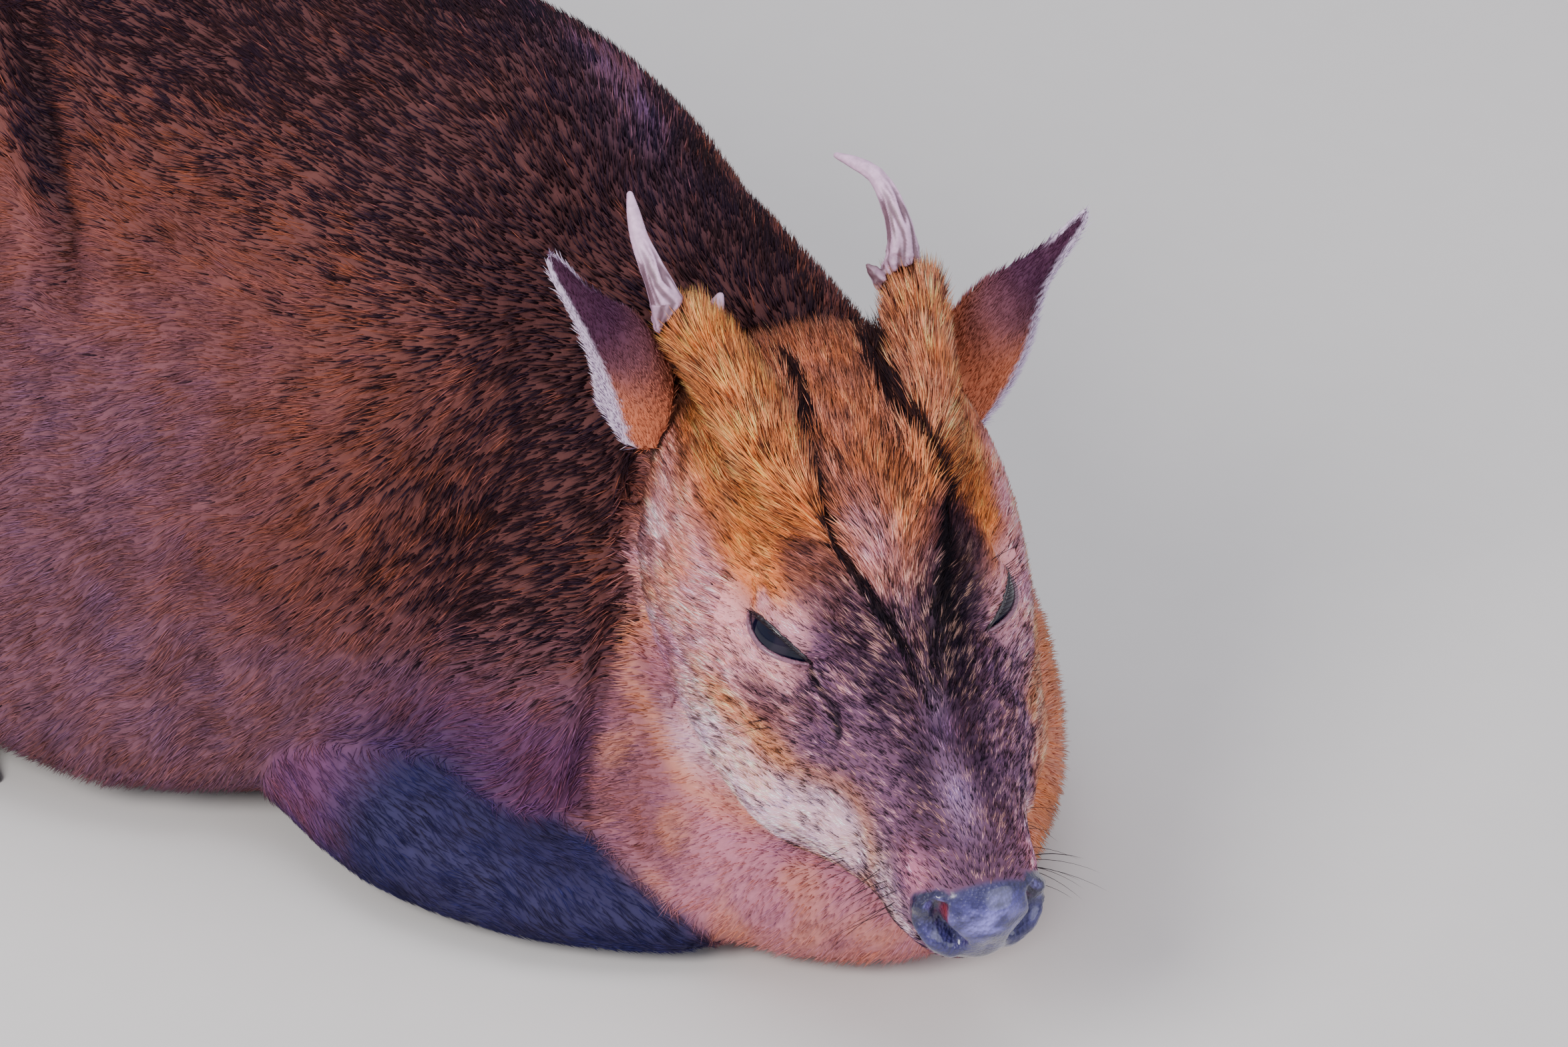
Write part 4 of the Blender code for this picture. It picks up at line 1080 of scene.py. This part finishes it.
class BuildSkin(bpy.types.Operator):
    """Cover the fleshed solids with one skin"""

    bl_idname = "muntjac.build_skin"
    bl_label = "Build skin"

    def execute(self, context):
        settings = context.scene.muntjac_skin
        trunk = joined("trunk", [n for n in FLESH if n != "head"])
        remesh(trunk, 4.5 * MM, 14)
        head = joined("skin", ["head", "tail", *EYES])
        bm = bmesh.new()
        bm.from_mesh(head.data)
        bm.from_mesh(trunk.data)
        bm.to_mesh(head.data)
        bm.free()
        bpy.data.objects.remove(trunk)
        skin = remesh(head, settings.voxel * MM, 3)
        mesh = skin.data
        part = node_weights(mesh, FLESH)
        points, normals = coordinates(mesh), directions(mesh)
        round_off = blot(in_head(points), (-183.0, 0.0, 0.0), (24.0, 28.0, 28.0)) * part[:, 0]
        jaw_corner = blot(fold_over(in_head(points)), (-103.0, 54.0, -57.0), (14.0, 11.0, 10.0))
        round_off = np.maximum(round_off, 0.9 * jaw_corner)
        calm = spread_out(points, edge_pairs(mesh), 60)
        points = points + (calm - points) * round_off[:, None]
        inset = coat_depth(in_head(points), in_body(points), part) + 0.4
        points = points - normals * (inset * MM)[:, None]
        head_points = in_head(points)
        moves = head_way(shape_face(head_points, part)) * MM
        points = points + moves + shape_body(in_body(points), part) * MM
        for side, sign in SIDES:
            points = set_lids(points, sign)
        points[:, 2] = np.maximum(points[:, 2], 0.0003)
        set_coordinates(mesh, points)
        count = len(mesh.polygons) * 2
        if count > settings.faces:
            modifier = skin.modifiers.new("thin", "DECIMATE")
            modifier.ratio = settings.faces / count
            settle(skin)
            mesh = skin.data
        mesh.polygons.foreach_set("use_smooth", np.ones(len(mesh.polygons), dtype=bool))
        part = node_weights(mesh, FLESH)
        points = coordinates(mesh)
        head_points, body_points = in_head(points), in_body(points)
        colour, dark = coat_paint(head_points, body_points, part)
        wet = bare_nose(head_points) * part[:, 0]
        colour = mixed(colour * 0.85, "fleck", 0.6 * dark * (1 - wet))
        colour = mixed(colour, "stripe", 0.75 * stripe_paint(head_points) * part[:, 0])
        colour = mixed(colour, "nose", wet)
        grain = ramp(cloud(points, 0.0028, 6.0), 0.1, 0.7)
        edge = np.maximum(ramp(head_points[:, 0], 2.5, -1.5), ramp(head_points[:, 2], -18.0, -24.0))
        colour = mixed(colour, "nose_dark", wet * np.maximum(0.45 * grain, 0.8 * edge))
        # Painted highlight on the wet nose pad: pale blue streaks in the middle of the pad and along the rims of the
        # nostrils.
        highlight_streaks = cloud(head_points * [0.5, 0.25, 0.5], 1.1, 7.0)
        middle = blot(head_points, (6.0, -1.5, -6.0), (6.5, 9.0, 5.5))
        colour = mixed(colour, "nose_painted_highlight", 0.85 * wet * middle * ramp(highlight_streaks, -0.5, 0.5))
        lip = along_path(fold_over(head_points), NOSTRIL_RIM)[0]
        colour = mixed(colour, "nose_painted_highlight", 0.6 * wet * ramp(lip, 1.9, 0.6))
        hole = along_path(fold_over(head_points), NOSTRIL_SLIT)[0]
        colour = mixed(colour, "nostril", ramp(hole, 3.4, 2.0) * part[:, 0])
        set_colour(mesh, "tone", colour)
        set_value(mesh, "wet", wet)
        PIECES["part"] = part
        self.unwrap(context, skin)
        ready(skin, skin_material(), "coat", *FLESH)
        PIECES["skin"] = skin
        return {"FINISHED"}

    def unwrap(self, context, skin):
        """Lays the skin out on six sheets, one for each way that it faces."""
        mesh = skin.data
        count = len(mesh.polygons)
        flat = np.empty(count * 3)
        mesh.polygons.foreach_get("normal", flat)
        normals = flat.reshape(-1, 3)
        axis = np.abs(normals).argmax(axis=1)
        facing = normals[np.arange(count), axis] > 0
        sheet = axis * 2 + facing
        totals = np.empty(count, dtype=np.int64)
        mesh.polygons.foreach_get("loop_total", totals)
        sheets = np.repeat(sheet, totals)
        loops = np.empty(len(mesh.loops), dtype=np.int64)
        mesh.loops.foreach_get("vertex_index", loops)
        places = coordinates(mesh)[loops]
        low, high = places.min(axis=0), places.max(axis=0)
        share = (places - low) / (high - low).max()
        first = np.where(sheets // 2 == 0, 1, 0)
        second = np.where(sheets // 2 == 2, 1, 2)
        rows = np.arange(len(loops))
        spot = np.stack([share[rows, first], share[rows, second]], axis=1)
        corner = np.stack([sheets % 2, sheets // 2], axis=1) * [0.5, 0.333]
        chart = corner + 0.005 + spot * [0.485, 0.485]
        mesh.uv_layers.new(name="SkinMap").uv.foreach_set("vector", chart.ravel())


class GrowCoat(bpy.types.Operator):
    """Grow the tufts of the coat on the skin"""

    bl_idname = "muntjac.grow_coat"
    bl_label = "Grow coat"

    def execute(self, context):
        s = context.scene.muntjac_coat
        skin = Skin(PIECES["skin"])
        part = PIECES["part"]
        head, body = in_head(skin.points), in_body(skin.points)
        bald = bare_nose(head) * part[:, 0]
        eye = np.linalg.norm(fold_over(head) - EYE_PLACE, axis=1)
        hairy = (1 - ramp(bald, 0.05, 0.3)) * ramp(body[:, 2], 0.6, 1.5)
        hairy *= 1 - part[:, 0] * ramp(eye, 14.0, 13.3)
        material = PIECES["hair"] = coat_material()
        sparse = 3.0 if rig.quick() else 1.0
        face = np.clip(part[:, 0] * hairy, 0, 1)
        rest = np.clip((1 - part[:, 0]) * hairy, 0, 1)
        for name, weight, spacing, pieces in (("coat_head", face, s.face_spacing, 3),
                                              ("coat_body", rest, s.body_spacing, 5)):
            self.grow(s, skin, part, name, weight, spacing * sparse ** 0.5, pieces, material)
        return {"FINISHED"}

    def grow(self, s, skin, part, name, weight, spacing, pieces, material):
        corner, bary, roots, normals, chart = skin.scatter(weight, spacing, s.seed)
        share = (part[corner] * bary[:, :, None]).sum(axis=1)
        head, body = in_head(roots), in_body(roots)
        folded = fold_over(head)
        draw = np.random.default_rng(s.seed + len(roots))
        count = len(roots)
        crown = ramp(along_line(folded, PEDICLE_ROOT, PEDICLE_TIP)[0], 24.0, 13.0)
        crown = np.maximum(crown, 0.55 * blot(head, (-128.0, 0.0, 14.0), (30.0, 14.0, 20.0)))
        fringe = blot(head, (-182.0, 0.0, 2.0), (15.0, 30.0, 22.0))
        crown = np.maximum(crown, fringe)
        throat = (share[:, 0] + share[:, 1]) * ramp(body[:, 0], -150.0, -120.0) * ramp(head[:, 2], -40.0, -60.0)
        throat *= ramp(head[:, 1], 26.0, 10.0)
        eye = ramp(np.linalg.norm(folded - EYE_PLACE, axis=1), 14.0, 24.0)
        face = s.face_length * (0.6 + 0.9 * ramp(head[:, 0], -30.0, -130.0)) * (0.5 + 0.5 * eye)
        face = face + (s.crown_length - face) * crown
        length = share @ np.array([0, s.body_length, s.limb_length, s.tail_length]) + share[:, 0] * face
        depth = np.maximum(coat_depth(head, body, share), 0.35)
        length *= (0.75 + 0.45 * draw.random(count)) * (1 - 0.30 * throat) * (1 + 0.25 * fringe)
        lift = np.arcsin(np.clip(depth / length, 0.03, 0.5)) * (0.55 + 0.6 * draw.random(count))
        lift += (0.30 * crown * ramp(head[:, 0], -160.0, -176.0) + 0.30 * fringe) * draw.random(count)
        lift += 0.25 * far_jaw(head) * draw.random(count)
        width = (0.12 * length * share[:, 0] + 0.085 * length * (1 - share[:, 0])) * MM
        width = np.clip(width, (0.32 - 0.04 * share[:, 0]) * MM, (0.62 - 0.08 * share[:, 0]) * MM) * (1 - 0.25 * throat)
        ways = lie(roots, normals, share)
        sweep = cloud(roots, 0.018, 3.0) * 0.22 + (draw.random(count) - 0.5) * 0.5
        ways = swirled(ways, normals, sweep)
        colour, dark = coat_paint(head, body, share)
        patch = cloud(roots - ways * (length * 0.5 * MM)[:, None], s.fleck_size * MM, 11.0)
        level = 1.15 - 2.3 * dark
        speck = ramp(patch + 0.35 * (draw.random(count) - 0.5), level, level + 0.35)
        strand = streaks(head) * share[:, 0]
        tufted = 0.18 + 0.27 * np.maximum(ramp(head[:, 0], -100.0, -84.0), crown)
        hairs = ramp(draw.random(count) - tufted * strand, 1.0 - dark, 1.08 - dark)
        tint = share[:, 0] * hairs * 0.8 + (1 - share[:, 0]) * speck * 0.93
        colour = mixed(colour, "fleck", tint)
        light = 1 + 0.20 * cloud(roots, 0.012, 5.0) + 0.45 * (draw.random(count) - 0.5)
        muzzle = ramp(head[:, 0], -104.0, -84.0)
        light *= np.exp((1 + 0.5 * muzzle) * (0.7 * strand + 0.55 * share[:, 0] * (draw.random(count) - 0.5)))
        colour = colour * light[:, None]
        warm = np.clip(cloud(roots, 0.009, 15.0) + 1.4 * (draw.random(count) - 0.5), -1.0, 1.0)
        colour = colour * (1 + warm[:, None] * [0.10, 0.0, -0.26])
        pale = ramp(light, 1.05, 1.8) * (1 - tint) * share[:, 0]
        pale *= 1 - 0.9 * blot(head, (-48.0, 2.0, 3.0), (9.0, 11.0, 9.0))
        colour = mixed(colour, "tan_tip", 0.42 * pale * ramp(head[:, 0], -110.0, -90.0))
        stripe = stripe_paint(head) * share[:, 0]
        colour = mixed(colour, "stripe", 0.96 * (draw.random(count) < stripe ** 0.7))
        tip = np.minimum(colour * (1.1 + 0.1 * share[:, :1]), 0.97)
        dark_tip = crown * (draw.random(count) > 0.66)
        tip = mixed(tip, "fleck", 0.85 * dark_tip)
        band = ramp(along_path(folded, JAW_BAND)[0], 19.0, 9.0) * ramp(head[:, 1], 8.0, -8.0)
        band = np.maximum(band, upper_cheek(head) * share[:, 0])
        root_tone = colour * (0.80 - 0.14 * share[:, 0] + 0.24 * band)[:, None]
        order = np.argsort(roots[:, 0], kind="stable")
        for k, rows in enumerate(np.array_split(order, pieces)):
            made = tufts(name + "_" + str(k + 1), roots[rows], normals[rows], chart[rows], ways[rows],
                         length[rows] * MM, width[rows], lift[rows], root_tone[rows], tip[rows])
            ready(made, material, "coat")


class BuildEars(bpy.types.Operator):
    """Build both ears with their brown backs and pale furred rims"""

    bl_idname = "muntjac.build_ears"
    bl_label = "Build ears"
    edges = {}

    def execute(self, context):
        hide = skin_material()
        hair = PIECES["hair"]
        for side, sign in SIDES:
            back = head_way(on_side(EAR_BACK, sign)[None])[0]
            bm = node_mesh("ear_" + side)
            mesh = bpy.data.meshes.new("ear_" + side + "_skin")
            bm.to_mesh(mesh)
            bm.free()
            ear = link("ear_" + side + "_skin", mesh)
            modifier = ear.modifiers.new("round", "SUBSURF")
            modifier.levels = modifier.render_levels = 2
            settle(ear)
            mesh = ear.data
            mesh.polygons.foreach_set("use_smooth", np.ones(len(mesh.polygons), dtype=bool))
            points, normals = coordinates(mesh), directions(mesh)
            self.measure(points, back, side)
            colour = self.markings(points, normals, back, side)
            set_colour(mesh, "tone", colour * 0.9)
            set_value(mesh, "wet", np.zeros(len(points)))
            BuildSkin.unwrap(self, context, ear)
            ready(ear, hide, "ear_brown", "ear_" + side)
            self.grow(ear, back, side, hair)
        return {"FINISHED"}

    def place_on_leaf(self, points, side):
        """How far along the ear and how far across it each point lies, in millimetres."""
        head = in_head(points) * [1, 1 if side == "left" else -1, 1]
        run = head - np.array(EAR_ROOT)
        along = np.array(EAR_TIPS[side]) - np.array(EAR_ROOT)
        along = along / np.linalg.norm(along)
        across = np.cross(EAR_BACK, along)
        across = across / np.linalg.norm(across)
        across = across * (1 if across[1] > 0 else -1)
        return run @ along, run @ across

    def measure(self, points, back, side):
        """Keeps the outer and inner edge of the ear at every step along it."""
        along, across = self.place_on_leaf(points, side)
        steps = np.linspace(along.min(), along.max(), 24)
        rows = np.clip(np.digitize(along, steps), 0, 24)
        outer = np.array([across[rows == k].max() if (rows == k).any() else np.nan for k in range(25)])
        inner = np.array([across[rows == k].min() if (rows == k).any() else np.nan for k in range(25)])
        self.edges[side] = (steps, outer, inner, along.max())

    def markings(self, points, normals, back, side):
        """Brown back, darker up the ear, with a pale rim along the outer edge and the tip."""
        head = in_head(points)
        facing = normals @ back
        along, across = self.place_on_leaf(points, side)
        steps, outer, inner, end = self.edges[side]
        rows = np.clip(np.digitize(along, steps), 0, 24)
        wide = 2.2 if side == "left" else 1.3
        rim = ramp(outer[rows] - across, wide, 0.5 * wide)
        rim = np.maximum(rim, ramp(across - inner[rows], 1.4, 0.7) * ramp(along, end - 20.0, end - 8.0))
        inside = ramp(facing, 0.0, -0.3)
        colour = np.tile(paint("ear_brown"), (len(points), 1))
        colour = mixed(colour, "ear_dark", ramp(along, 8.0, 34.0))
        colour = mixed(colour, "pedicle", 0.5 * ramp(head[:, 2], 6.0, -12.0))
        colour = mixed(colour, "ear_inside", inside)
        return mixed(colour, "ear_rim", rim)

    def grow(self, ear, back, side, material):
        skin = Skin(ear)
        corner, bary, roots, normals, chart = skin.scatter(np.ones(len(skin.points)), 0.85, 21)
        draw = np.random.default_rng(23)
        count = len(roots)
        head = in_head(roots)
        tip = np.array(EAR_TIPS[side]) * [1, 1 if side == "left" else -1, 1]
        ways = head_way(unit(tip - head + 1e-6))
        ways = unit(ways - normals * (ways * normals).sum(axis=1)[:, None])
        ways = swirled(ways, normals, (draw.random(count) - 0.5) * 0.6)
        facing = normals @ back
        rim = np.exp(-((facing + 0.1) / 0.35) ** 2)
        length = (3.0 + 1.2 * rim) * (0.7 + 0.5 * draw.random(count))
        lift = 0.12 + 0.25 * rim + 0.1 * draw.random(count)
        colour = self.markings(roots, normals, back, side)
        colour = colour * (0.8 + 0.4 * draw.random(count))[:, None]
        made = tufts("coat_ear_" + side, roots, normals, chart, ways, length * MM,
                     np.full(count, 0.36 * MM), lift, colour * 0.75, colour * 1.1)
        ready(made, material, "ear_brown")


class BuildEyes(bpy.types.Operator):
    """Build the eyeballs and the rims of their lids"""

    bl_idname = "muntjac.build_eyes"
    bl_label = "Build eyes"

    def execute(self, context):
        glass = eye_material()
        rim_skin = skin_material()
        for side, sign in SIDES:
            low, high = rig.box("eye_" + side)
            centre, radius = (Vector(low) + Vector(high)) / 2, (high[0] - low[0]) / 2
            bm = bmesh.new()
            bmesh.ops.create_uvsphere(bm, u_segments=64, v_segments=40, radius=radius)
            look = Vector(head_way(np.array([[0.12, 0.80 * sign, 0.45]]))[0]).normalized()
            turn = Vector((0, 0, 1)).rotation_difference(look).to_matrix().to_4x4()
            for v in bm.verts:
                bulge = max(v.co.z / radius - 0.72, 0.0)
                v.co += v.co.normalized() * bulge * 1.6 * MM
            bmesh.ops.transform(bm, verts=bm.verts, matrix=Matrix.Translation(centre) @ turn)
            mesh = bpy.data.meshes.new("eyeball_" + side)
            bm.to_mesh(mesh)
            bm.free()
            mesh.polygons.foreach_set("use_smooth", np.ones(len(mesh.polygons), dtype=bool))
            points = coordinates(mesh) - np.array(centre)
            angle = unit(points) @ np.array(look)
            colour = np.tile([0.002, 0.003, 0.014], (len(points), 1))
            iris = ramp(angle, 0.78, 0.82) * ramp(angle, 0.955, 0.93)
            colour = colour + iris[:, None] * np.array([0.012, 0.007, 0.010])
            set_colour(mesh, "tone", colour)
            eye = link("eyeball_" + side, mesh)
            ready(eye, glass, "eye_dark", "eye_" + side)
            self.rims(side, sign, rim_skin)
        return {"FINISHED"}

    def rims(self, side, sign, material):
        """Moist dark edge of both lids, following the eyeball from corner to corner."""
        for word, upper in (("upper", True), ("lower", False)):
            curve = bpy.data.curves.new("lid", "CURVE")
            curve.dimensions = "3D"
            curve.bevel_depth = 0.8 * MM
            curve.bevel_resolution = 3
            curve.use_fill_caps = True
            spline = curve.splines.new("POLY")
            steps = 32
            spline.points.add(steps)
            for i in range(steps + 1):
                f = i / steps
                spline.points[i].co = (*(HEAD @ Vector(on_lid(sign, f, upper, 0.45))), 1.0)
                spline.points[i].radius = 0.6 + 0.4 * sin(pi * f) ** 0.5
            holder = bpy.data.objects.new("lid", curve)
            bpy.context.scene.collection.objects.link(holder)
            bpy.context.view_layer.update()
            mesh = bpy.data.meshes.new_from_object(
                holder.evaluated_get(bpy.context.evaluated_depsgraph_get()))
            bpy.data.objects.remove(holder)
            tone = np.tile([0.014, 0.008, 0.014] if upper else [0.22, 0.095, 0.140],
                           (len(mesh.vertices), 1))
            set_colour(mesh, "tone", tone)
            set_value(mesh, "wet", np.full(len(mesh.vertices), 0.8))
            rim = link("lid_rim_" + word + "_" + side, mesh)
            mesh.polygons.foreach_set("use_smooth", np.ones(len(mesh.polygons), dtype=bool))
            ready(rim, material, "eye_dark")


class BuildWhiskers(bpy.types.Operator):
    """Set the whiskers of the muzzle and brows and the lashes of the upper lids"""

    bl_idname = "muntjac.build_whiskers"
    bl_label = "Build whiskers"

    def execute(self, context):
        skin = PIECES["skin"]
        points, normals = coordinates(skin.data), directions(skin.data)
        head = in_head(points)
        loops = np.empty(len(skin.data.loops), dtype=np.int64)
        skin.data.loops.foreach_get("vertex_index", loops)
        flat = np.empty(len(loops) * 2)
        skin.data.uv_layers["SkinMap"].uv.foreach_get("vector", flat)
        chart = np.zeros((len(points), 2))
        chart[loops] = flat.reshape(-1, 2)
        draw = np.random.default_rng(31)
        for side, sign in SIDES:
            bm = bmesh.new()
            charts = []
            for place, spread, way, length, number in WHISKERS:
                for _ in range(number):
                    spot = (np.array(place) + (draw.random(3) - 0.5) * spread) * [1, sign, 1]
                    row = ((head - spot) ** 2).sum(axis=1).argmin()
                    lean = np.array(way) + (draw.random(3) - 0.5) * 0.35
                    charts.append(chart[row])
                    self.strand(bm, Vector(points[row]), on_side(lean, sign),
                                length * (0.6 + 0.5 * draw.random()), 0.13, 0.25)
            centre, inner, outer, along, look, rise = lid_frame(sign)
            for i in range(26):
                f = 0.12 + 0.8 * (i + draw.random()) / 26
                lean = 0.9 * look + 0.25 * rise + along * (0.6 * f - 0.1) + (draw.random(3) - 0.5) * 0.3
                root = HEAD @ Vector(on_lid(sign, f, True, 0.9))
                charts.append(chart[((head - on_lid(sign, f, True, 0.9)) ** 2).sum(axis=1).argmin()])
                self.strand(bm, root, lean, 4.5 + 2.5 * draw.random(), 0.11, -0.3)
            mesh = bpy.data.meshes.new("whiskers_" + side)
            bm.to_mesh(mesh)
            bm.free()
            set_colour(mesh, "tone", np.tile([0.016, 0.010, 0.014], (len(mesh.vertices), 1)))
            loops = np.empty(len(mesh.loops), dtype=np.int64)
            mesh.loops.foreach_get("vertex_index", loops)
            ring, turn = loops % 16 // 3, loops % 16 % 3
            patch = np.stack([(turn - 1) * 0.001, (ring - 2) * 0.0006], axis=1)
            spots = np.array(charts)[loops // 16] + patch
            mesh.uv_layers.new(name="OFBake").uv.foreach_set("vector", spots.ravel())
            ready(link("whiskers_" + side, mesh), PIECES["hair"], "face")
        return {"FINISHED"}

    def strand(self, bm, root, way, length, radius, droop):
        """One tapering bristle that bends down towards its tip."""
        way = Vector(head_way(np.asarray(way, float)[None])[0]).normalized()
        across = way.orthogonal().normalized()
        other = way.cross(across)
        rings = []
        steps = 5
        for i in range(steps):
            t = i / steps
            place = root + way * (length * t * MM) - Vector((0, 0, droop * length * t * t * MM))
            place.z = max(place.z, 0.0006)
            thick = radius * (1 - 0.8 * t) * MM
            rings.append([bm.verts.new(place + across * (thick * cos(a)) + other * (thick * sin(a)))
                          for a in (0.0, 2 * pi / 3, 4 * pi / 3)])
        end = root + way * (length * MM) - Vector((0, 0, droop * length * MM))
        end.z = max(end.z, 0.0006)
        tip = bm.verts.new(end)
        bm.faces.new(rings[0][::-1])
        for a, b in zip(rings, rings[1:]):
            for k in range(3):
                bm.faces.new((a[k], a[(k + 1) % 3], b[(k + 1) % 3], b[k]))
        for k in range(3):
            bm.faces.new((rings[-1][k], rings[-1][(k + 1) % 3], tip))


class BuildAntlers(bpy.types.Operator):
    """Build the antlers with their grooves and brow tines"""

    bl_idname = "muntjac.build_antlers"
    bl_label = "Build antlers"

    def execute(self, context):
        material = antler_material()
        for side, _ in SIDES:
            nodes = ["antler_" + side, "brow_tine_" + side]
            horn = joined("horn_" + side, nodes, 0.55)
            remesh(horn, 0.45 * MM, 3)
            mesh = horn.data
            points, normals = coordinates(mesh), directions(mesh)
            head = in_head(points)
            furrow, run = self.furrows(head, nodes[0])
            near_root = ramp(run, 0.75, 0.40)
            knobs = np.maximum(cloud(head, 2.2, 9.0), 0) * ramp(run, 0.2, 0.08)
            points = points + normals * ((0.45 * furrow * near_root + 0.6 * knobs) * MM)[:, None]
            set_coordinates(mesh, points)
            mesh.polygons.foreach_set("use_smooth", np.ones(len(mesh.polygons), dtype=bool))
            colour = np.tile(paint("ivory"), (len(points), 1))
            colour = mixed(colour, "groove", 0.35 * ramp(run, 0.35, 0.0))
            colour = mixed(colour, "groove", 0.85 * ramp(-furrow, -0.12, 0.30) * (0.06 + 0.94 * near_root))
            set_colour(mesh, "tone", colour)
            ready(horn, material, "antler_bone", *nodes)
        return {"FINISHED"}

    def furrows(self, head, name):
        """Long grooves around the beam, and how far along the beam each place lies."""
        solid = in_head(coordinates(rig.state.nodes[name].data))
        low, high = solid[solid[:, 0].argmax()], solid[solid[:, 0].argmin()]
        way = (high - low) / np.linalg.norm(high - low)
        reach = (solid - low) @ way
        cuts = np.linspace(reach.min(), reach.max(), 8)
        path = [solid[(reach >= a) & (reach <= b)].mean(axis=0) for a, b in zip(cuts, cuts[1:])]
        away, run = along_path(head, path)
        steps = run * (len(path) - 1)
        k = np.clip(steps.astype(int), 0, len(path) - 2)
        path = np.array(path)
        middle = path[k] + (path[k + 1] - path[k]) * (steps - k)[:, None]
        aside = np.cross(way, [0.0, 0.0, 1.0])
        aside = aside / np.linalg.norm(aside)
        turn = np.arctan2((head - middle) @ np.cross(way, aside), (head - middle) @ aside)
        rows = np.stack([3.0 * np.cos(turn), 3.0 * np.sin(turn), 4.0 * run], axis=1)
        return cloud(rows, 1.0, 2.0), run



class BuildHooves(bpy.types.Operator):
    """Round off the cloven hooves"""

    bl_idname = "muntjac.build_hooves"
    bl_label = "Build hooves"

    def execute(self, context):
        material = hoof_material()
        for name in HOOVES:
            claw = joined(name + "_horn", [name], 0.1)
            remesh(claw, 0.9 * MM, 3)
            mesh = claw.data
            points = coordinates(mesh)
            points[:, 2] = np.maximum(points[:, 2], 0.0002)
            set_coordinates(mesh, points)
            mesh.polygons.foreach_set("use_smooth", np.ones(len(mesh.polygons), dtype=bool))
            ready(claw, material, "hoof_black", name)
        return {"FINISHED"}


class SetStage(bpy.types.Operator):
    """Set up the floor, the soft studio light and the camera"""

    bl_idname = "muntjac.set_stage"
    bl_label = "Set stage"

    def execute(self, context):
        s = context.scene.muntjac_stage
        bm = bmesh.new()
        bmesh.ops.create_grid(bm, x_segments=4, y_segments=4, size=9.0)
        mesh = bpy.data.meshes.new("floor")
        bm.to_mesh(mesh)
        bm.free()
        floor = link("floor", mesh)
        mesh.materials.append(floor_material(s.floor_colour))
        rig.stage(floor)
        world = bpy.data.worlds.new("studio")
        world.use_nodes = True
        world.node_tree.nodes["Background"].inputs["Color"].default_value = (0.90, 0.90, 1.0, 1)
        world.node_tree.nodes["Background"].inputs["Strength"].default_value = 0.72
        context.scene.world = world
        azimuth, height = radians(CAMERA_AZIMUTH), radians(CAMERA_HEIGHT)
        right = Vector((cos(azimuth), sin(azimuth), 0.0))
        back = Vector((sin(azimuth) * cos(height), -cos(azimuth) * cos(height), sin(height)))
        up = back.cross(right)
        focus = HEAD.translation
        self.light("key", focus + (right * -1.0 + up * 0.4 + back * 1.4), focus, 0.8, s.key_power,
                   (1.0, 0.97, 0.95))
        self.light("sky", focus + Vector((-0.35, 0.25, 1.9)), focus, 1.6, s.top_power,
                   (0.92, 0.94, 1.0))
        self.light("fill", focus + (right * 1.2 + up * 0.1 + back * 1.2), focus, 1.4, s.fill_power,
                   (0.88, 0.90, 1.0))
        camera = bpy.data.cameras.new("camera")
        camera.sensor_width = 36.0
        camera.lens = FOCAL_LENGTH
        holder = bpy.data.objects.new("camera", camera)
        context.scene.collection.objects.link(holder)
        step = right * CAMERA_OFFSET[0] + up * CAMERA_OFFSET[1] + back * CAMERA_OFFSET[2]
        turn = Matrix((right, up, back)).transposed().to_4x4()
        holder.matrix_world = Matrix.Translation(focus - step * MM) @ turn
        context.scene.camera = holder
        return {"FINISHED"}

    def light(self, name, place, target, width, power, colour):
        lamp = bpy.data.lights.new(name, "AREA")
        lamp.shape = "DISK"
        lamp.size = width
        lamp.energy = power
        lamp.color = colour
        holder = bpy.data.objects.new(name, lamp)
        holder.location = place
        holder.rotation_mode = "QUATERNION"
        holder.rotation_quaternion = (target - place).to_track_quat("-Z", "Y")
        bpy.context.scene.collection.objects.link(holder)


OPERATORS = (BuildSkin, GrowCoat, BuildEars, BuildEyes, BuildWhiskers, BuildAntlers, BuildHooves, SetStage)


class MuntjacPanel(bpy.types.Panel):
    """Sizes and steps of the muntjac"""

    bl_idname = "VIEW3D_PT_muntjac"
    bl_label = "Muntjac"
    bl_space_type = "VIEW_3D"
    bl_region_type = "UI"
    bl_category = "Muntjac"

    def draw(self, context):
        for group in (context.scene.muntjac_skin, context.scene.muntjac_coat,
                      context.scene.muntjac_stage):
            box = self.layout.box()
            for name in group.__annotations__:
                box.prop(group, name)
        for operator in OPERATORS:
            self.layout.operator(operator.bl_idname)


CLASSES = (CoatSettings, SkinSettings, StageSettings, *OPERATORS, MuntjacPanel)


def register():
    for cls in CLASSES:
        bpy.utils.register_class(cls)
    bpy.types.Scene.muntjac_coat = PointerProperty(type=CoatSettings)
    bpy.types.Scene.muntjac_skin = PointerProperty(type=SkinSettings)
    bpy.types.Scene.muntjac_stage = PointerProperty(type=StageSettings)


def unregister():
    del bpy.types.Scene.muntjac_coat
    del bpy.types.Scene.muntjac_skin
    del bpy.types.Scene.muntjac_stage
    for cls in reversed(CLASSES):
        bpy.utils.unregister_class(cls)


def main():
    solid_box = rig.bounds()
    register()
    bpy.ops.muntjac.build_skin()
    bpy.ops.muntjac.grow_coat()
    bpy.ops.muntjac.build_ears()
    bpy.ops.muntjac.build_eyes()
    bpy.ops.muntjac.build_whiskers()
    bpy.ops.muntjac.build_antlers()
    bpy.ops.muntjac.build_hooves()
    bpy.ops.muntjac.set_stage()
    shown_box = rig.bounds()
    sizes = {"solids": [list(c) for c in solid_box], "visual": [list(c) for c in shown_box]}
    with open("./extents.json", "w") as record:
        json.dump(sizes, record)


if __name__ == "__main__":
    main()
